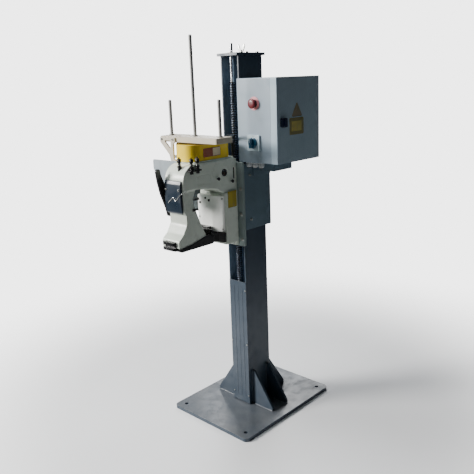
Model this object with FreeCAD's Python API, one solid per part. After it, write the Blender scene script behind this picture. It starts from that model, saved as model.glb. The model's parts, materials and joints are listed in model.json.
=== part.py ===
"""Bag closer sewing station: a floor column whose lift carriage holds a sewing head and a control box.

Frame, in millimetres: origin on the floor under the column's centre, +Z up, +X along the way the
filled bags come from, +Y to the rear of the column.  The sewing head stands on the -Y side.
One solid or group of like solids is written per node, to parts/NODE.step.
"""
import FreeCAD, Part
import math
import os

V = FreeCAD.Vector

# ---- driving dimensions -------------------------------------------------------------------------
BASE_X, BASE_Y, BASE_T = 460, 600, 16           # floor plate
ANCHOR_X, ANCHOR_Y, ANCHOR_R = 380, 520, 9      # anchor hole spacing and radius
COL_X, COL_Y, COL_WALL = 50, 75, 6              # column half width, half depth and wall
COL_TOP = 1592
CAP_T = 11
SCREW_Y, SCREW_R, JOURNAL_R = -60, 14, 9        # lift screw
JOURNAL_Z = 1488                                # where the thread ends and the journal begins
RUN = 0.05                                      # radial running clearance of shafts in their bushes

SIDE_IN, SIDE_OUT = 52, 60                      # carriage side plates, in X
CAR_LOW, CAR_HIGH = 862, 1150                   # carriage height
FRONT_Y, FRONT_T = -107, 12                     # carriage front plate
MOUNT_Y, MOUNT_T = -120, 13                     # head mounting plate
MOUNT_X = 47

HEAD_X = 55                                     # half width of the head's top housing
HEAD_FRONT, HEAD_REAR = -414, MOUNT_Y
HEAD_TOP = 1184
LEG_X = 50                                      # half width of the front leg
LEG_TOP = 1084
LEG_ROOM_X = 36                                 # half width of the room inside the front leg
LEVER_Y, LEVER_Z, LEVER_PIN_R = -385, 1040, 6   # pivot of the needle lever
REAR_LEFT, REAR_RIGHT = -100, 60                # rear leg, in X
REAR_Y, REAR_LOW, REAR_TOP = -195, 824, 1046
SOLE_Z = 862                                    # underside of the front leg's foot
NEEDLE_Z = 882
SLIT_FRONT, SLIT_REAR = -262, -250              # the two faces that the bag's mouth runs between

MAIN_Y = -307                                   # vertical main shaft
SHAFT_R = 8
CROSS_Z = 1128                                  # horizontal cross shaft
BEVEL_LOW, BEVEL_HIGH, BEVEL_GAP = 14, 22, 0.4  # pitch radii of the bevel gears and their play
MOTOR_X, MOTOR_Y, MOTOR_R = -160, -185, 55
MOTOR_SHAFT_R = 7
PULLEY_Z = 1215                                 # middle plane of the belt
MAIN_GROOVE, MOTOR_GROOVE = 30, 22              # groove radii
BELT_T, BELT_H = 5, 8
GUARD_LOW, GUARD_HIGH, GUARD_WALL = 1190, 1254, 3

TRAY_X, TRAY_FRONT, TRAY_REAR = 165, -332, -242
TRAY_LOW, TRAY_HIGH, TRAY_T = 1263, 1285, 2.5
ROD_R, ROD_PITCH, ROD_Y = 6.5, 141, -287
SHORT_ROD, TALL_ROD = 142, 385

BOX_LEFT, BOX_RIGHT = 60, 235                   # control box body, in X
BOX_FRONT, BOX_REAR = -100, 178
BOX_LOW, BOX_HIGH, BOX_T = 1164, 1501, 2
DOOR_LEFT, DOOR_RIGHT = 235.5, 267
HINGE_X, HINGE_Y, HINGE_R, HINGE_PIN_R = 236, 184, 4, 2.5
LATCH_Y, LATCH_Z = -61, 1326
BUTTON_X, BUTTON_Z, BUTTON_STEM_R = 152, 1402, 10
SWITCH_X, SWITCH_Z, SWITCH_SHAFT_R = 147, 1246, 6


# ---- shape helpers ------------------------------------------------------------------------------
def block(x0, x1, y0, y1, z0, z1):
    return Part.makeBox(x1 - x0, y1 - y0, z1 - z0, V(x0, y0, z0))


def rod(radius, start, end):
    start, end = V(*start), V(*end)
    return Part.makeCylinder(radius, (end - start).Length, start, end - start)


def tube(outer, inner, start, end):
    return rod(outer, start, end).cut(rod(inner, start, end))


def cone(r_start, r_end, start, end):
    start, end = V(*start), V(*end)
    return Part.makeCone(r_start, r_end, (end - start).Length, start, end - start)


def fuse(shapes):
    shapes = list(shapes)
    joined = shapes[0].multiFuse(shapes[1:]) if len(shapes) > 1 else shapes[0]
    return joined.removeSplitter()


def group(shapes):
    return Part.makeCompound(list(shapes))


def mirrored_x(shape):
    return shape.mirror(V(0, 0, 0), V(1, 0, 0))


def prism(points, axis, low, high, radii=0):
    """Extrude a closed outline along an axis; radii round its corners with tangent arcs.

    points are (x, y) for axis "z", (y, z) for axis "x" and (x, z) for axis "y".
    """
    count = len(points)
    radii = radii if isinstance(radii, (list, tuple)) else [radii] * count

    def place(point):
        u, v = point.x, point.y
        return {"x": V(low, u, v), "y": V(u, low, v), "z": V(u, v, low)}[axis]

    corners = []
    for i in range(count):
        here = V(*points[i])
        to_last = (V(*points[i - 1]) - here).normalize()
        to_next = (V(*points[(i + 1) % count]) - here).normalize()
        half = to_last.getAngle(to_next) / 2
        if radii[i] <= 0:
            corners.append((here, None, here))
            continue
        reach = radii[i] / math.tan(half)
        inward = (to_last + to_next).normalize()
        middle = here + inward * (radii[i] / math.sin(half) - radii[i])
        corners.append((here + to_last * reach, middle, here + to_next * reach))
    edges = []
    for i in range(count):
        start, middle, end = corners[i]
        if middle is not None:
            edges.append(Part.Arc(place(start), place(middle), place(end)).toShape())
        following = corners[(i + 1) % count][0]
        if (following - end).Length > 1e-6:
            edges.append(Part.LineSegment(place(end), place(following)).toShape())
    face = Part.Face(Part.Wire(edges))
    depth = high - low
    return face.extrude({"x": V(depth, 0, 0), "y": V(0, depth, 0), "z": V(0, 0, depth)}[axis])


def plate(x0, x1, y0, y1, z0, z1, axis="z", radius=4):
    """A rectangular plate whose corners are rounded about the given axis."""
    sides = {"x": (y0, y1, z0, z1, x0, x1), "y": (x0, x1, z0, z1, y0, y1), "z": (x0, x1, y0, y1, z0, z1)}
    a0, a1, b0, b1, low, high = sides[axis]
    return prism([(a0, b0), (a1, b0), (a1, b1), (a0, b1)], axis, low, high, radius)


def hex_bolt(head, direction, size, length):
    """A bolt whose head's underside is at head; direction points along the shank."""
    axis = V(*direction)
    corner = size * 0.92
    if abs(axis.z) > 0.5:
        side = V(1, 0, 0)
    else:
        side = V(0, 0, 1)
    other = axis.cross(side)
    points = []
    for i in range(7):
        turn = math.radians(60 * i)
        points.append(V(*head) + side * (corner * math.cos(turn)) + other * (corner * math.sin(turn)))
    hexagon = Part.Face(Part.makePolygon(points)).extrude(axis * (-0.6 * size))
    shank = Part.makeCylinder(size / 2, length, V(*head), axis)
    return fuse([hexagon, shank])


def cap_screw(head, direction, size, length):
    axis = V(*direction)
    cap = Part.makeCylinder(size * 0.8, size * 0.6, V(*head) - axis * (size * 0.6), axis)
    shank = Part.makeCylinder(size / 2, length, V(*head), axis)
    return fuse([cap, shank])


# ---- stand --------------------------------------------------------------------------------------
def make_base(nodes):
    base = plate(-BASE_X / 2, BASE_X / 2, -BASE_Y / 2, BASE_Y / 2, 0, BASE_T, "z", 20)
    for x in (-ANCHOR_X / 2, ANCHOR_X / 2):
        for y in (-ANCHOR_Y / 2, ANCHOR_Y / 2):
            base = base.cut(rod(ANCHOR_R, (x, y, 0), (x, y, BASE_T)))
    nodes["base_plate"] = base

    reach, rise, thick, nose = 120, 170, 10, 14
    ribs = []
    for y in (-50, 50):
        outline = [(COL_X, BASE_T), (COL_X + reach, BASE_T), (COL_X + reach, BASE_T + nose),
                   (COL_X + nose, BASE_T + rise), (COL_X, BASE_T + rise)]
        rib = prism(outline, "y", y - thick / 2, y + thick / 2)
        ribs += [rib, mirrored_x(rib)]
    for x in (-30, 30):
        outline = [(COL_Y, BASE_T), (COL_Y + reach, BASE_T), (COL_Y + reach, BASE_T + nose),
                   (COL_Y + nose, BASE_T + rise), (COL_Y, BASE_T + rise)]
        ribs.append(prism(outline, "x", x - thick / 2, x + thick / 2))
    nodes["base_gussets"] = group(ribs)


def make_column(nodes):
    inner_x, inner_y = COL_X - COL_WALL, COL_Y - COL_WALL
    outline = [(-COL_X, -COL_Y), (-inner_x, -COL_Y), (-inner_x, inner_y), (inner_x, inner_y),
               (inner_x, -COL_Y), (COL_X, -COL_Y), (COL_X, COL_Y), (-COL_X, COL_Y)]
    nodes["column"] = prism(outline, "z", BASE_T, COL_TOP, [0, 0, 3, 3, 0, 0, 8, 8])

    cap = plate(-58, 58, -90, 84, COL_TOP, COL_TOP + CAP_T, "z", 3)
    bearing_r = 17
    cap = cap.cut(rod(bearing_r, (0, SCREW_Y, COL_TOP), (0, SCREW_Y, COL_TOP + CAP_T)))
    cap_bolts = [hex_bolt((x, y, COL_TOP + CAP_T), (0, 0, -1), 8, CAP_T)
                 for x in (-47, 47) for y in (-20, 45)]
    wing = wing_bolt(0, 0, COL_TOP + CAP_T)
    nodes["column_cap"] = cap.cut(group(cap_bolts + [wing]))
    top_bearing = tube(bearing_r, JOURNAL_R + RUN, (0, SCREW_Y, COL_TOP), (0, SCREW_Y, COL_TOP + CAP_T + 2))

    low, high = 40, 70
    inner = COL_X - COL_WALL
    bearing = block(-inner, inner, -COL_Y, -20, low, high)
    bearing = bearing.cut(rod(JOURNAL_R + RUN, (0, SCREW_Y, low), (0, SCREW_Y, high)))
    nodes["screw_bearings"] = group([top_bearing, bearing])

    cover_t = 2
    cover = plate(-COL_X, COL_X, -COL_Y - cover_t, -COL_Y, 20, 620, "y", 2)
    screws = [cap_screw((x, -COL_Y - cover_t, z), (0, 1, 0), 4, cover_t)
              for x in (-COL_X + 4, COL_X - 4) for z in (60, 320, 580)]
    nodes["lower_cover"] = cover.cut(group(screws))
    nodes["stand_fasteners"] = group(cap_bolts + screws + [wing])


def wing_bolt(x, y, z):
    """A wing bolt: washer, hub, shank and two raised wings that make a V."""
    hub = rod(7, (x, y, z + 2), (x, y, z + 13))
    washer = rod(10, (x, y, z), (x, y, z + 2))
    shank = rod(4, (x, y, z - CAP_T), (x, y, z))
    blade = prism([(x + 4, z + 5), (x + 9, z + 4), (x + 21, z + 30), (x + 16, z + 36), (x + 11, z + 30)],
                  "y", y - 2.5, y + 2.5, [1, 2, 3, 2, 3])
    other = blade.mirror(V(x, y, z), V(1, 0, 0))
    return fuse([hub, washer, shank, blade, other])


def make_lift_screw(nodes):
    stub_r, stub_top, collar_r = 5.5, 1642, 14.5
    runs = [(JOURNAL_R, 40, 70), (collar_r, 70, 78), (SCREW_R, 78, JOURNAL_Z),
            (JOURNAL_R, JOURNAL_Z, COL_TOP + CAP_T + 2), (stub_r, COL_TOP + CAP_T + 2, stub_top)]
    nodes["lift_screw"] = fuse(rod(r, (0, SCREW_Y, low), (0, SCREW_Y, high)) for r, low, high in runs)


# ---- lift carriage ------------------------------------------------------------------------------
def make_carriage(nodes):
    rear_y = 95
    right = plate(SIDE_IN, SIDE_OUT, FRONT_Y + FRONT_T, rear_y, CAR_LOW, CAR_HIGH, "x", 2)
    rear = plate(-SIDE_IN, SIDE_IN, rear_y - 12, rear_y, CAR_LOW, CAR_HIGH, "y", 2)
    front = plate(-80, 80, FRONT_Y, FRONT_Y + FRONT_T, 800, 1163, "y", 5)
    mount = plate(-MOUNT_X, MOUNT_X, MOUNT_Y, FRONT_Y, 805, 1180, "y", 3)

    bolts = []
    for x in (-68, 68):
        for z in (830, 940, 1050):
            bolts.append(hex_bolt((x, FRONT_Y, z), (0, 1, 0), 8, FRONT_T))
    side_z = (905, 1100)
    side_bolts = [cap_screw((SIDE_OUT, -39, z), (-1, 0, 0), 8, SIDE_OUT - SIDE_IN) for z in side_z]
    left_bolts = [mirrored_x(bolt) for bolt in side_bolts]
    mount_screws = [cap_screw((x, MOUNT_Y, 815), (0, 1, 0), 7, MOUNT_T) for x in (-34, 34)]

    left = mirrored_x(right).cut(group(left_bolts))
    nodes["carriage_side_plates"] = group([right.cut(group(side_bolts)), left])
    nodes["carriage_rear_plate"] = rear
    nodes["carriage_front_plate"] = front.cut(group(bolts))
    nodes["head_mount_plate"] = mount.cut(group(mount_screws))

    pads = []
    for z in (CAR_LOW + 18, CAR_HIGH - 78):
        for y in (-70, 40):
            pad = block(COL_X + RUN, SIDE_IN, y, y + 30, z, z + 60)
            pads += [pad, mirrored_x(pad)]
        for x in (18, 38):
            y0, y1 = (COL_Y + RUN, rear_y - 12) if x == 18 else (FRONT_Y + FRONT_T, -COL_Y - RUN)
            pad = block(x, x + (24 if x == 18 else 13), y0, y1, z, z + 60)
            pads += [pad, mirrored_x(pad)]
    nodes["guide_pads"] = group(pads)

    nut_low, nut_high, nut_r = 985, 1035, 22
    nut = tube(nut_r, SCREW_R + RUN, (0, SCREW_Y, nut_low), (0, SCREW_Y, nut_high))
    holder = block(-30, 30, FRONT_Y + FRONT_T, SCREW_Y, nut_low, nut_high)
    nodes["lift_nut"] = nut
    nodes["nut_holder"] = holder.cut(rod(nut_r, (0, SCREW_Y, nut_low), (0, SCREW_Y, nut_high)))
    return bolts + side_bolts + left_bolts + mount_screws


# ---- sewing head --------------------------------------------------------------------------------
def make_top_housing(nodes):
    outline = [(HEAD_FRONT, LEG_TOP), (HEAD_FRONT, HEAD_TOP), (HEAD_REAR, HEAD_TOP), (HEAD_REAR, REAR_TOP),
               (REAR_Y, REAR_TOP), (-240, 1070), (-347, LEG_TOP)]
    housing = prism(outline, "x", -HEAD_X, HEAD_X, [0, 65, 4, 0, 0, 50, 0])
    inner = HEAD_X - 8
    floor, room_top = 1092, 1151
    housing = housing.cut(block(-inner, inner, -398, HEAD_REAR - 10, floor, room_top))
    housing = housing.cut(block(-inner, inner, -338, HEAD_REAR - 14, room_top, HEAD_TOP))
    lever_slot = block(-20, 20, -394, -362, LEG_TOP, floor)
    housing = housing.cut(lever_slot)
    rib_t, bush_r = 10, 14
    rib_y = (-352, -222)
    bushes = []
    for y in rib_y:
        housing = housing.fuse(block(-inner, inner, y, y + rib_t, floor, 1147))
        housing = housing.cut(rod(bush_r, (0, y, CROSS_Z), (0, y + rib_t, CROSS_Z)))
        bushes.append(tube(bush_r, SHAFT_R + RUN, (0, y - 2, CROSS_Z), (0, y + rib_t + 2, CROSS_Z)))
    window_y, window_z, window_r = -186, 1130, 15
    housing = housing.cut(rod(window_r, (inner, window_y, window_z), (HEAD_X, window_y, window_z)))
    nodes["head_top_housing"] = housing.removeSplitter()
    nodes["oil_window"] = rod(window_r, (inner + 2, window_y, window_z), (HEAD_X, window_y, window_z))

    cover_front, cover_rear = -345, -122
    cover = plate(-50, 50, cover_front, cover_rear, HEAD_TOP, GUARD_LOW, "z", 8)
    cover = cover.cut(rod(bush_r, (0, MAIN_Y, HEAD_TOP), (0, MAIN_Y, GUARD_LOW)))
    screws = [cap_screw((x, y, GUARD_LOW), (0, 0, -1), 5, GUARD_LOW - HEAD_TOP)
              for x in (-36, 36) for y in (MAIN_Y + 8, -180)]
    nodes["head_top_cover"] = cover.cut(group(screws))
    main_bush = tube(bush_r, SHAFT_R + RUN, (0, MAIN_Y, 1166), (0, MAIN_Y, GUARD_LOW))
    flange = tube(20, SHAFT_R + RUN, (0, MAIN_Y, GUARD_LOW), (0, MAIN_Y, GUARD_LOW + 3))
    bushes.append(fuse([main_bush, flange]))
    nodes["shaft_bushes"] = group(bushes)
    return screws


def make_front_leg(nodes):
    outline = [(-414, LEG_TOP), (-414, 1005), (-402, 985), (-402, 950), (-425, 912), (-450, 892),
               (-450, SOLE_Z), (-293, SOLE_Z), (-305, 897), (-325, 935), (-352, 1003), (-368, 1042),
               (-347, LEG_TOP)]
    leg = prism(outline, "x", -LEG_X, LEG_X, [0, 15, 15, 30, 15, 14, 3, 6, 10, 60, 30, 30, 0])
    hollow = [(-394, LEG_TOP), (-394, 905), (-440, 893), (-440, 872), (-307, 872), (-316, 900),
              (-335, 935), (-361, 1003), (-375, 1042), (-362, LEG_TOP)]
    inner = LEG_ROOM_X
    leg = leg.cut(prism(hollow, "x", -inner, inner))
    leg = leg.cut(rod(7.5, (0, -320, NEEDLE_Z), (0, -280, NEEDLE_Z)))
    nodes["front_leg"] = leg.removeSplitter()

    guides = []
    for y in (-412, -330):
        guide = block(-inner, inner, y, y + 12, 872, 893)
        guides.append(guide.cut(rod(6 + RUN, (0, y, NEEDLE_Z), (0, y + 12, NEEDLE_Z))))
    nodes["needle_bar_guides"] = group(guides)

    cheek_low, cheek_high, half = 8, 14, 8
    pivot_y, pivot_z, pin_r = LEVER_Y, LEVER_Z, LEVER_PIN_R
    lever = prism([(pivot_y - half, 873.5), (pivot_y + half, 873.5), (pivot_y + half, pivot_z),
                   (pivot_y - half, pivot_z)], "x", cheek_low, cheek_high, [2, 2, 0, 0])
    hub = rod(8.5, (-5, pivot_y, pivot_z), (cheek_high, pivot_y, pivot_z))
    slot = plate(cheek_low, cheek_high, pivot_y - 3.2, pivot_y + 3.2, 875.4, 893, "x", 3.1)
    lever = fuse([lever, hub]).cut(rod(pin_r + RUN, (-5, pivot_y, pivot_z), (cheek_high, pivot_y, pivot_z)))
    nodes["needle_lever"] = lever.cut(slot)

    bar = rod(6, (0, -432, NEEDLE_Z), (0, -320, NEEDLE_Z))
    needle = fuse([rod(2, (0, -320, NEEDLE_Z), (0, -276, NEEDLE_Z)),
                   cone(2, 0.3, (0, -276, NEEDLE_Z), (0, -266, NEEDLE_Z))])
    pin = rod(2.5, (0, pivot_y, NEEDLE_Z), (cheek_high, pivot_y, NEEDLE_Z))
    nodes["needle_bar"] = fuse([bar, needle, pin])

    shoe = prism([(-446, SOLE_Z), (-446, 846), (SLIT_FRONT, 846), (SLIT_FRONT, 905), (SLIT_FRONT - 8, 905),
                  (SLIT_FRONT - 8, SOLE_Z)], "x", -LEG_X, LEG_X, [0, 8, 6, 3, 3, 3])
    shoe = shoe.cut(rod(4.5, (0, SLIT_FRONT - 8, NEEDLE_Z), (0, SLIT_FRONT, NEEDLE_Z)))
    cheek = prism([(-446, 846), (SLIT_FRONT, 846), (SLIT_FRONT, 890), (-300, 888), (-380, 868), (-446, 860)],
                  "x", LEG_X, LEG_X + 3, [8, 6, 10, 30, 60, 5])
    nodes["presser_shoe"] = fuse([shoe, cheek, mirrored_x(cheek)])

    cover = prism([(-414, 992), (-414, 1124), (-419, 1128), (-424, 1112), (-426, 1040), (-420, 1000)], "x",
                  -46, 46, [0, 0, 3, 8, 20, 8])
    screws = [cap_screw((x, -425, 1090), (0, 1, 0), 5, 14) for x in (-37, 37)]
    tool = group(screws)
    nodes["needle_cover"] = cover.cut(tool)
    nodes["front_leg"] = nodes["front_leg"].cut(tool)
    nodes["head_top_housing"] = nodes["head_top_housing"].cut(tool).cut(cover)
    return screws


def needle_lever_pin():
    return rod(LEVER_PIN_R, (-LEG_ROOM_X, LEVER_Y, LEVER_Z), (LEG_ROOM_X, LEVER_Y, LEVER_Z))


def make_rear_leg(nodes):
    leg = prism([(REAR_LEFT, REAR_Y), (REAR_RIGHT, REAR_Y), (REAR_RIGHT, HEAD_REAR), (REAR_LEFT, HEAD_REAR)],
                "z", REAR_LOW, REAR_TOP, [22, 10, 2, 22])
    hollow = block(-66, 46, REAR_Y, -132, 850, 1026)
    leg = leg.cut(hollow)
    nodes["rear_leg"] = leg

    low, high = 880, 1034
    bulge = prism([(-98, REAR_Y), (-92, -208), (-52, -226), (8, -222), (50, -204), (58, REAR_Y)], "z",
                  low, high, [0, 8, 40, 40, 8, 0])
    face = prism([(-98, low), (58, low), (58, high), (-98, high)], "y", -230, REAR_Y, [72, 10, 6, 24])
    bulge = bulge.common(face)
    room = block(-64, 42, -203, REAR_Y, low + 20, high - 8)
    seats = [(50, -204, low + 12), (50, -204, high - 12), (-72, -217, 936), (-80, -213, high - 18)]
    screws = [cap_screw((x, y, z), (0, 1, 0), 5, REAR_Y + 6 - y) for x, y, z in seats]
    tool = group(screws)
    nodes["looper_cover"] = bulge.cut(room).cut(tool)
    nodes["rear_leg"] = nodes["rear_leg"].cut(tool)

    plan = [(58, REAR_Y), (58, -207), (28, -214), (6, SLIT_REAR), (-70, SLIT_REAR), (-70, REAR_Y)]
    band = prism(plan, "z", 838, 878, [0, 4, 6, 4, 6, 0])
    face = plate(-70, 6, SLIT_REAR, -228, 878, 905, "z", 3)
    feed = fuse([band, face])
    pocket = block(-58, -10, -243, REAR_Y, 866, 900)
    feed = feed.cut(pocket)
    feed = feed.cut(rod(4.5, (0, SLIT_REAR, NEEDLE_Z), (0, -205, NEEDLE_Z)))
    nodes["feed_plate"] = feed.cut(nodes["looper_cover"])

    arm_x, arm_z = -34, 950
    shaft = rod(6, (arm_x, -190, arm_z), (arm_x, -140, arm_z))
    arm = plate(arm_x - 5, arm_x + 5, -190, -184, 870, arm_z + 10, "y", 3)
    hook = rod(2.5, (arm_x, -186, 874), (arm_x, -238, 874))
    tip = rod(1.8, (arm_x, -236, 874), (arm_x + 12, -236, 874))
    nodes["looper"] = fuse([shaft, arm, hook, tip])
    looper_bush = tube(12, 6 + RUN, (arm_x, -170, arm_z), (arm_x, -132, arm_z))
    nodes["shaft_bushes"] = group(nodes["shaft_bushes"].Solids + [looper_bush])
    return screws


def make_head_shafts(nodes):
    low, high, gap = BEVEL_LOW, BEVEL_HIGH, BEVEL_GAP
    cross = rod(SHAFT_R, (0, -394, CROSS_Z), (0, -140, CROSS_Z))
    gear = cone(low - gap, high - gap, (0, MAIN_Y + low, CROSS_Z), (0, MAIN_Y + high, CROSS_Z))
    hub = rod(13, (0, MAIN_Y + high, CROSS_Z), (0, MAIN_Y + high + 12, CROSS_Z))
    front_cam = rod(14, (0, -393, CROSS_Z + 5), (0, -383, CROSS_Z + 5))
    rear_cam = rod(14, (0, -166, CROSS_Z - 5), (0, -156, CROSS_Z - 5))
    nodes["cross_shaft"] = fuse([cross, gear, hub, front_cam, rear_cam])

    shaft = rod(SHAFT_R, (0, MAIN_Y, CROSS_Z + low), (0, MAIN_Y, PULLEY_Z + 25))
    bevel = cone(low - gap, high - gap, (0, MAIN_Y, CROSS_Z + low), (0, MAIN_Y, CROSS_Z + high))
    nodes["main_shaft"] = fuse([shaft, bevel])
    wheel = pulley(0, MAIN_Y, MAIN_GROOVE, 13)
    nodes["main_pulley"] = wheel.cut(rod(SHAFT_R, (0, MAIN_Y, 1190), (0, MAIN_Y, 1250)))
    motor_wheel = pulley(MOTOR_X, MOTOR_Y, MOTOR_GROOVE, 12)
    nodes["motor_pulley"] = fuse([motor_wheel, rod(MOTOR_SHAFT_R, (MOTOR_X, MOTOR_Y, 1140),
                                                   (MOTOR_X, MOTOR_Y, PULLEY_Z + 18))])


def pulley(x, y, groove, hub_r):
    half, rim = 9, 5
    disc = rod(groove + rim, (x, y, PULLEY_Z - half), (x, y, PULLEY_Z + half))
    room = tube(groove + rim, groove, (x, y, PULLEY_Z - half + 3), (x, y, PULLEY_Z + half - 3))
    hub = rod(hub_r, (x, y, PULLEY_Z - 16), (x, y, PULLEY_Z + 14))
    return fuse([disc.cut(room), hub])


def belt_loop(offset):
    """The plan shape round both pulleys at a distance outside their grooves, as a solid BELT_H high."""
    low, high = PULLEY_Z - BELT_H / 2, PULLEY_Z + BELT_H / 2
    r1, r2 = MAIN_GROOVE + offset, MOTOR_GROOVE + offset
    span = V(MOTOR_X, MOTOR_Y - MAIN_Y, 0)
    tilt = math.acos((r1 - r2) / span.Length)
    heading = math.atan2(span.y, span.x)
    ends = []
    for side in (1, -1):
        turn = heading + side * tilt
        ray = V(math.cos(turn), math.sin(turn), 0)
        ends.append((V(0, MAIN_Y, low) + ray * r1, V(MOTOR_X, MOTOR_Y, low) + ray * r2))
    (main_a, motor_a), (main_b, motor_b) = ends
    bridge = Part.Face(Part.makePolygon([main_a, motor_a, motor_b, main_b, main_a]))
    bridge = bridge.extrude(V(0, 0, high - low))
    return fuse([rod(r1, (0, MAIN_Y, low), (0, MAIN_Y, high)),
                 rod(r2, (MOTOR_X, MOTOR_Y, low), (MOTOR_X, MOTOR_Y, high)), bridge])


def make_drive(nodes):
    nodes["drive_belt"] = belt_loop(RUN + BELT_T).cut(belt_loop(RUN))

    def guard_plan(inset, low, high):
        outline = [(46 - inset, -146 - inset), (46 - inset, -353 + inset), (-46, -353 + inset),
                   (-197 + inset, -212), (-197 + inset, -146 - inset)]
        bend = [6 - inset, 46 - inset, 95 - inset, 34 - inset, 34 - inset]
        return prism(outline, "z", low, high, bend)

    guard = guard_plan(0, GUARD_LOW, GUARD_HIGH)
    nodes["belt_guard"] = guard.cut(guard_plan(GUARD_WALL, GUARD_LOW, GUARD_HIGH - GUARD_WALL))

    top = GUARD_LOW - 8
    body = rod(MOTOR_R, (MOTOR_X, MOTOR_Y, 990), (MOTOR_X, MOTOR_Y, top))
    fan_cover = rod(MOTOR_R - 4, (MOTOR_X, MOTOR_Y, 955), (MOTOR_X, MOTOR_Y, 990))
    terminal = plate(MOTOR_X - 82, MOTOR_X - 40, MOTOR_Y - 28, MOTOR_Y + 28, 1060, 1130, "x", 4)
    motor = fuse([body, fan_cover, terminal])
    bore = rod(MOTOR_SHAFT_R + RUN, (MOTOR_X, MOTOR_Y, 1139), (MOTOR_X, MOTOR_Y, top))
    nodes["sewing_motor"] = motor.cut(bore)

    left, right = MOTOR_X - 56, -MOUNT_X - 1
    shelf = plate(left, -88, MOTOR_Y - 56, FRONT_Y, top, GUARD_LOW, "z", 4)
    shelf = shelf.cut(rod(20, (MOTOR_X, MOTOR_Y, top), (MOTOR_X, MOTOR_Y, GUARD_LOW)))
    flange = plate(left, right, FRONT_Y - 8, FRONT_Y, 1095, top, "y", 4)
    rib = prism([(FRONT_Y - 8, 1110), (FRONT_Y - 8, top), (MOTOR_Y + 57, top)], "x", left, left + 8)
    nodes["motor_bracket"] = fuse([shelf, flange, rib])


def make_motor_shield(nodes):
    """A folded sheet pan with a fixing tab; it hangs on the head's left side, ahead of the motor."""
    front, rear, sheet = -345, -332, 3
    right, left = -HEAD_X, -205
    low, knee, high = 1016, 1150, GUARD_LOW - 2
    outline = [(right, high), (left, high), (left, knee), (-130, low), (right, low)]
    pan = prism(outline, "y", front, rear, [0, 8, 14, 14, 6])
    room = [(0, high + 20), (left + sheet, high + 20), (left + sheet, knee + 1), (-128, low + sheet), (0, low + sheet)]
    pan = pan.cut(prism(room, "y", front + sheet, rear, [0, 0, 11, 11, 0]))
    tab = plate(right - sheet, right, front - 23, front + sheet, 1096, 1172, "x", 1)
    screws = [cap_screw((right - sheet, front - 12, z), (1, 0, 0), 5, sheet + 8) for z in (1110, 1158)]
    tool = group(screws)
    nodes["motor_shield"] = fuse([pan, tab]).cut(tool)
    nodes["head_top_housing"] = nodes["head_top_housing"].cut(tool)
    return screws


def make_thread_stand(nodes):
    y0, y1 = TRAY_FRONT, TRAY_REAR
    pan = plate(-TRAY_X, TRAY_X, y0, y1, TRAY_LOW, TRAY_HIGH, "z", 8)
    room = plate(-TRAY_X + TRAY_T, TRAY_X - TRAY_T, y0 + TRAY_T, y1 - TRAY_T, TRAY_LOW,
                 TRAY_HIGH - TRAY_T, "z", 5.5)
    nodes["thread_tray"] = pan.cut(room)

    rods = []
    for x, height in ((-ROD_PITCH, SHORT_ROD), (0, TALL_ROD), (ROD_PITCH, SHORT_ROD)):
        spindle = rod(ROD_R, (x, ROD_Y, TRAY_HIGH), (x, ROD_Y, TRAY_HIGH + height - 3))
        tip = cone(ROD_R, ROD_R - 2, (x, ROD_Y, TRAY_HIGH + height - 3), (x, ROD_Y, TRAY_HIGH + height))
        nut = rod(11, (x, ROD_Y, TRAY_HIGH), (x, ROD_Y, TRAY_HIGH + 5))
        rods.append(fuse([spindle, tip, nut]))
    nodes["thread_rods"] = group(rods)

    side = -HEAD_X
    outline = [(side, 1140), (side, 1181), (side - 24, 1196), (side - 24, 1257), (side - 12, 1262),
               (side - 12, TRAY_HIGH - 4), (-156, TRAY_HIGH - 4), (-156, 1262), (-104, 1212),
               (-97, 1188), (side - 12, 1140)]
    bracket = prism(outline, "y", TRAY_FRONT - 7, TRAY_FRONT, [2, 2, 6, 4, 3, 3, 3, 8, 20, 20, 8])
    window = prism([(-134, 1269), (-93, 1269), (-93, 1232)], "y", TRAY_FRONT - 7, TRAY_FRONT, [4, 4, 4])
    bracket = bracket.cut(window)
    screws = [cap_screw((x, TRAY_FRONT - 7, TRAY_HIGH - 11), (0, 1, 0), 6, 7 + TRAY_T) for x in (-147, -80)]
    tool = group(screws)
    nodes["tray_bracket"] = bracket.cut(tool)
    nodes["thread_tray"] = nodes["thread_tray"].cut(tool)

    stay_r = 6
    bends = [(112, TRAY_REAR, 1272), (106, -218, 1280), (64, -142, 1279), (38, -113.5, 1262), (38, -113.5, 1180)]
    runs = [rod(stay_r, start, end) for start, end in zip(bends, bends[1:])]
    knees = [Part.makeSphere(stay_r, V(*bend)) for bend in bends[1:-1]]
    pad = rod(11, bends[0], (bends[0][0], TRAY_REAR + 5, bends[0][2]))
    in_front = block(90, 130, -262, TRAY_REAR, 1250, 1295)
    nodes["tray_stay"] = fuse(runs + knees + [pad]).cut(in_front)
    return screws


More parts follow.
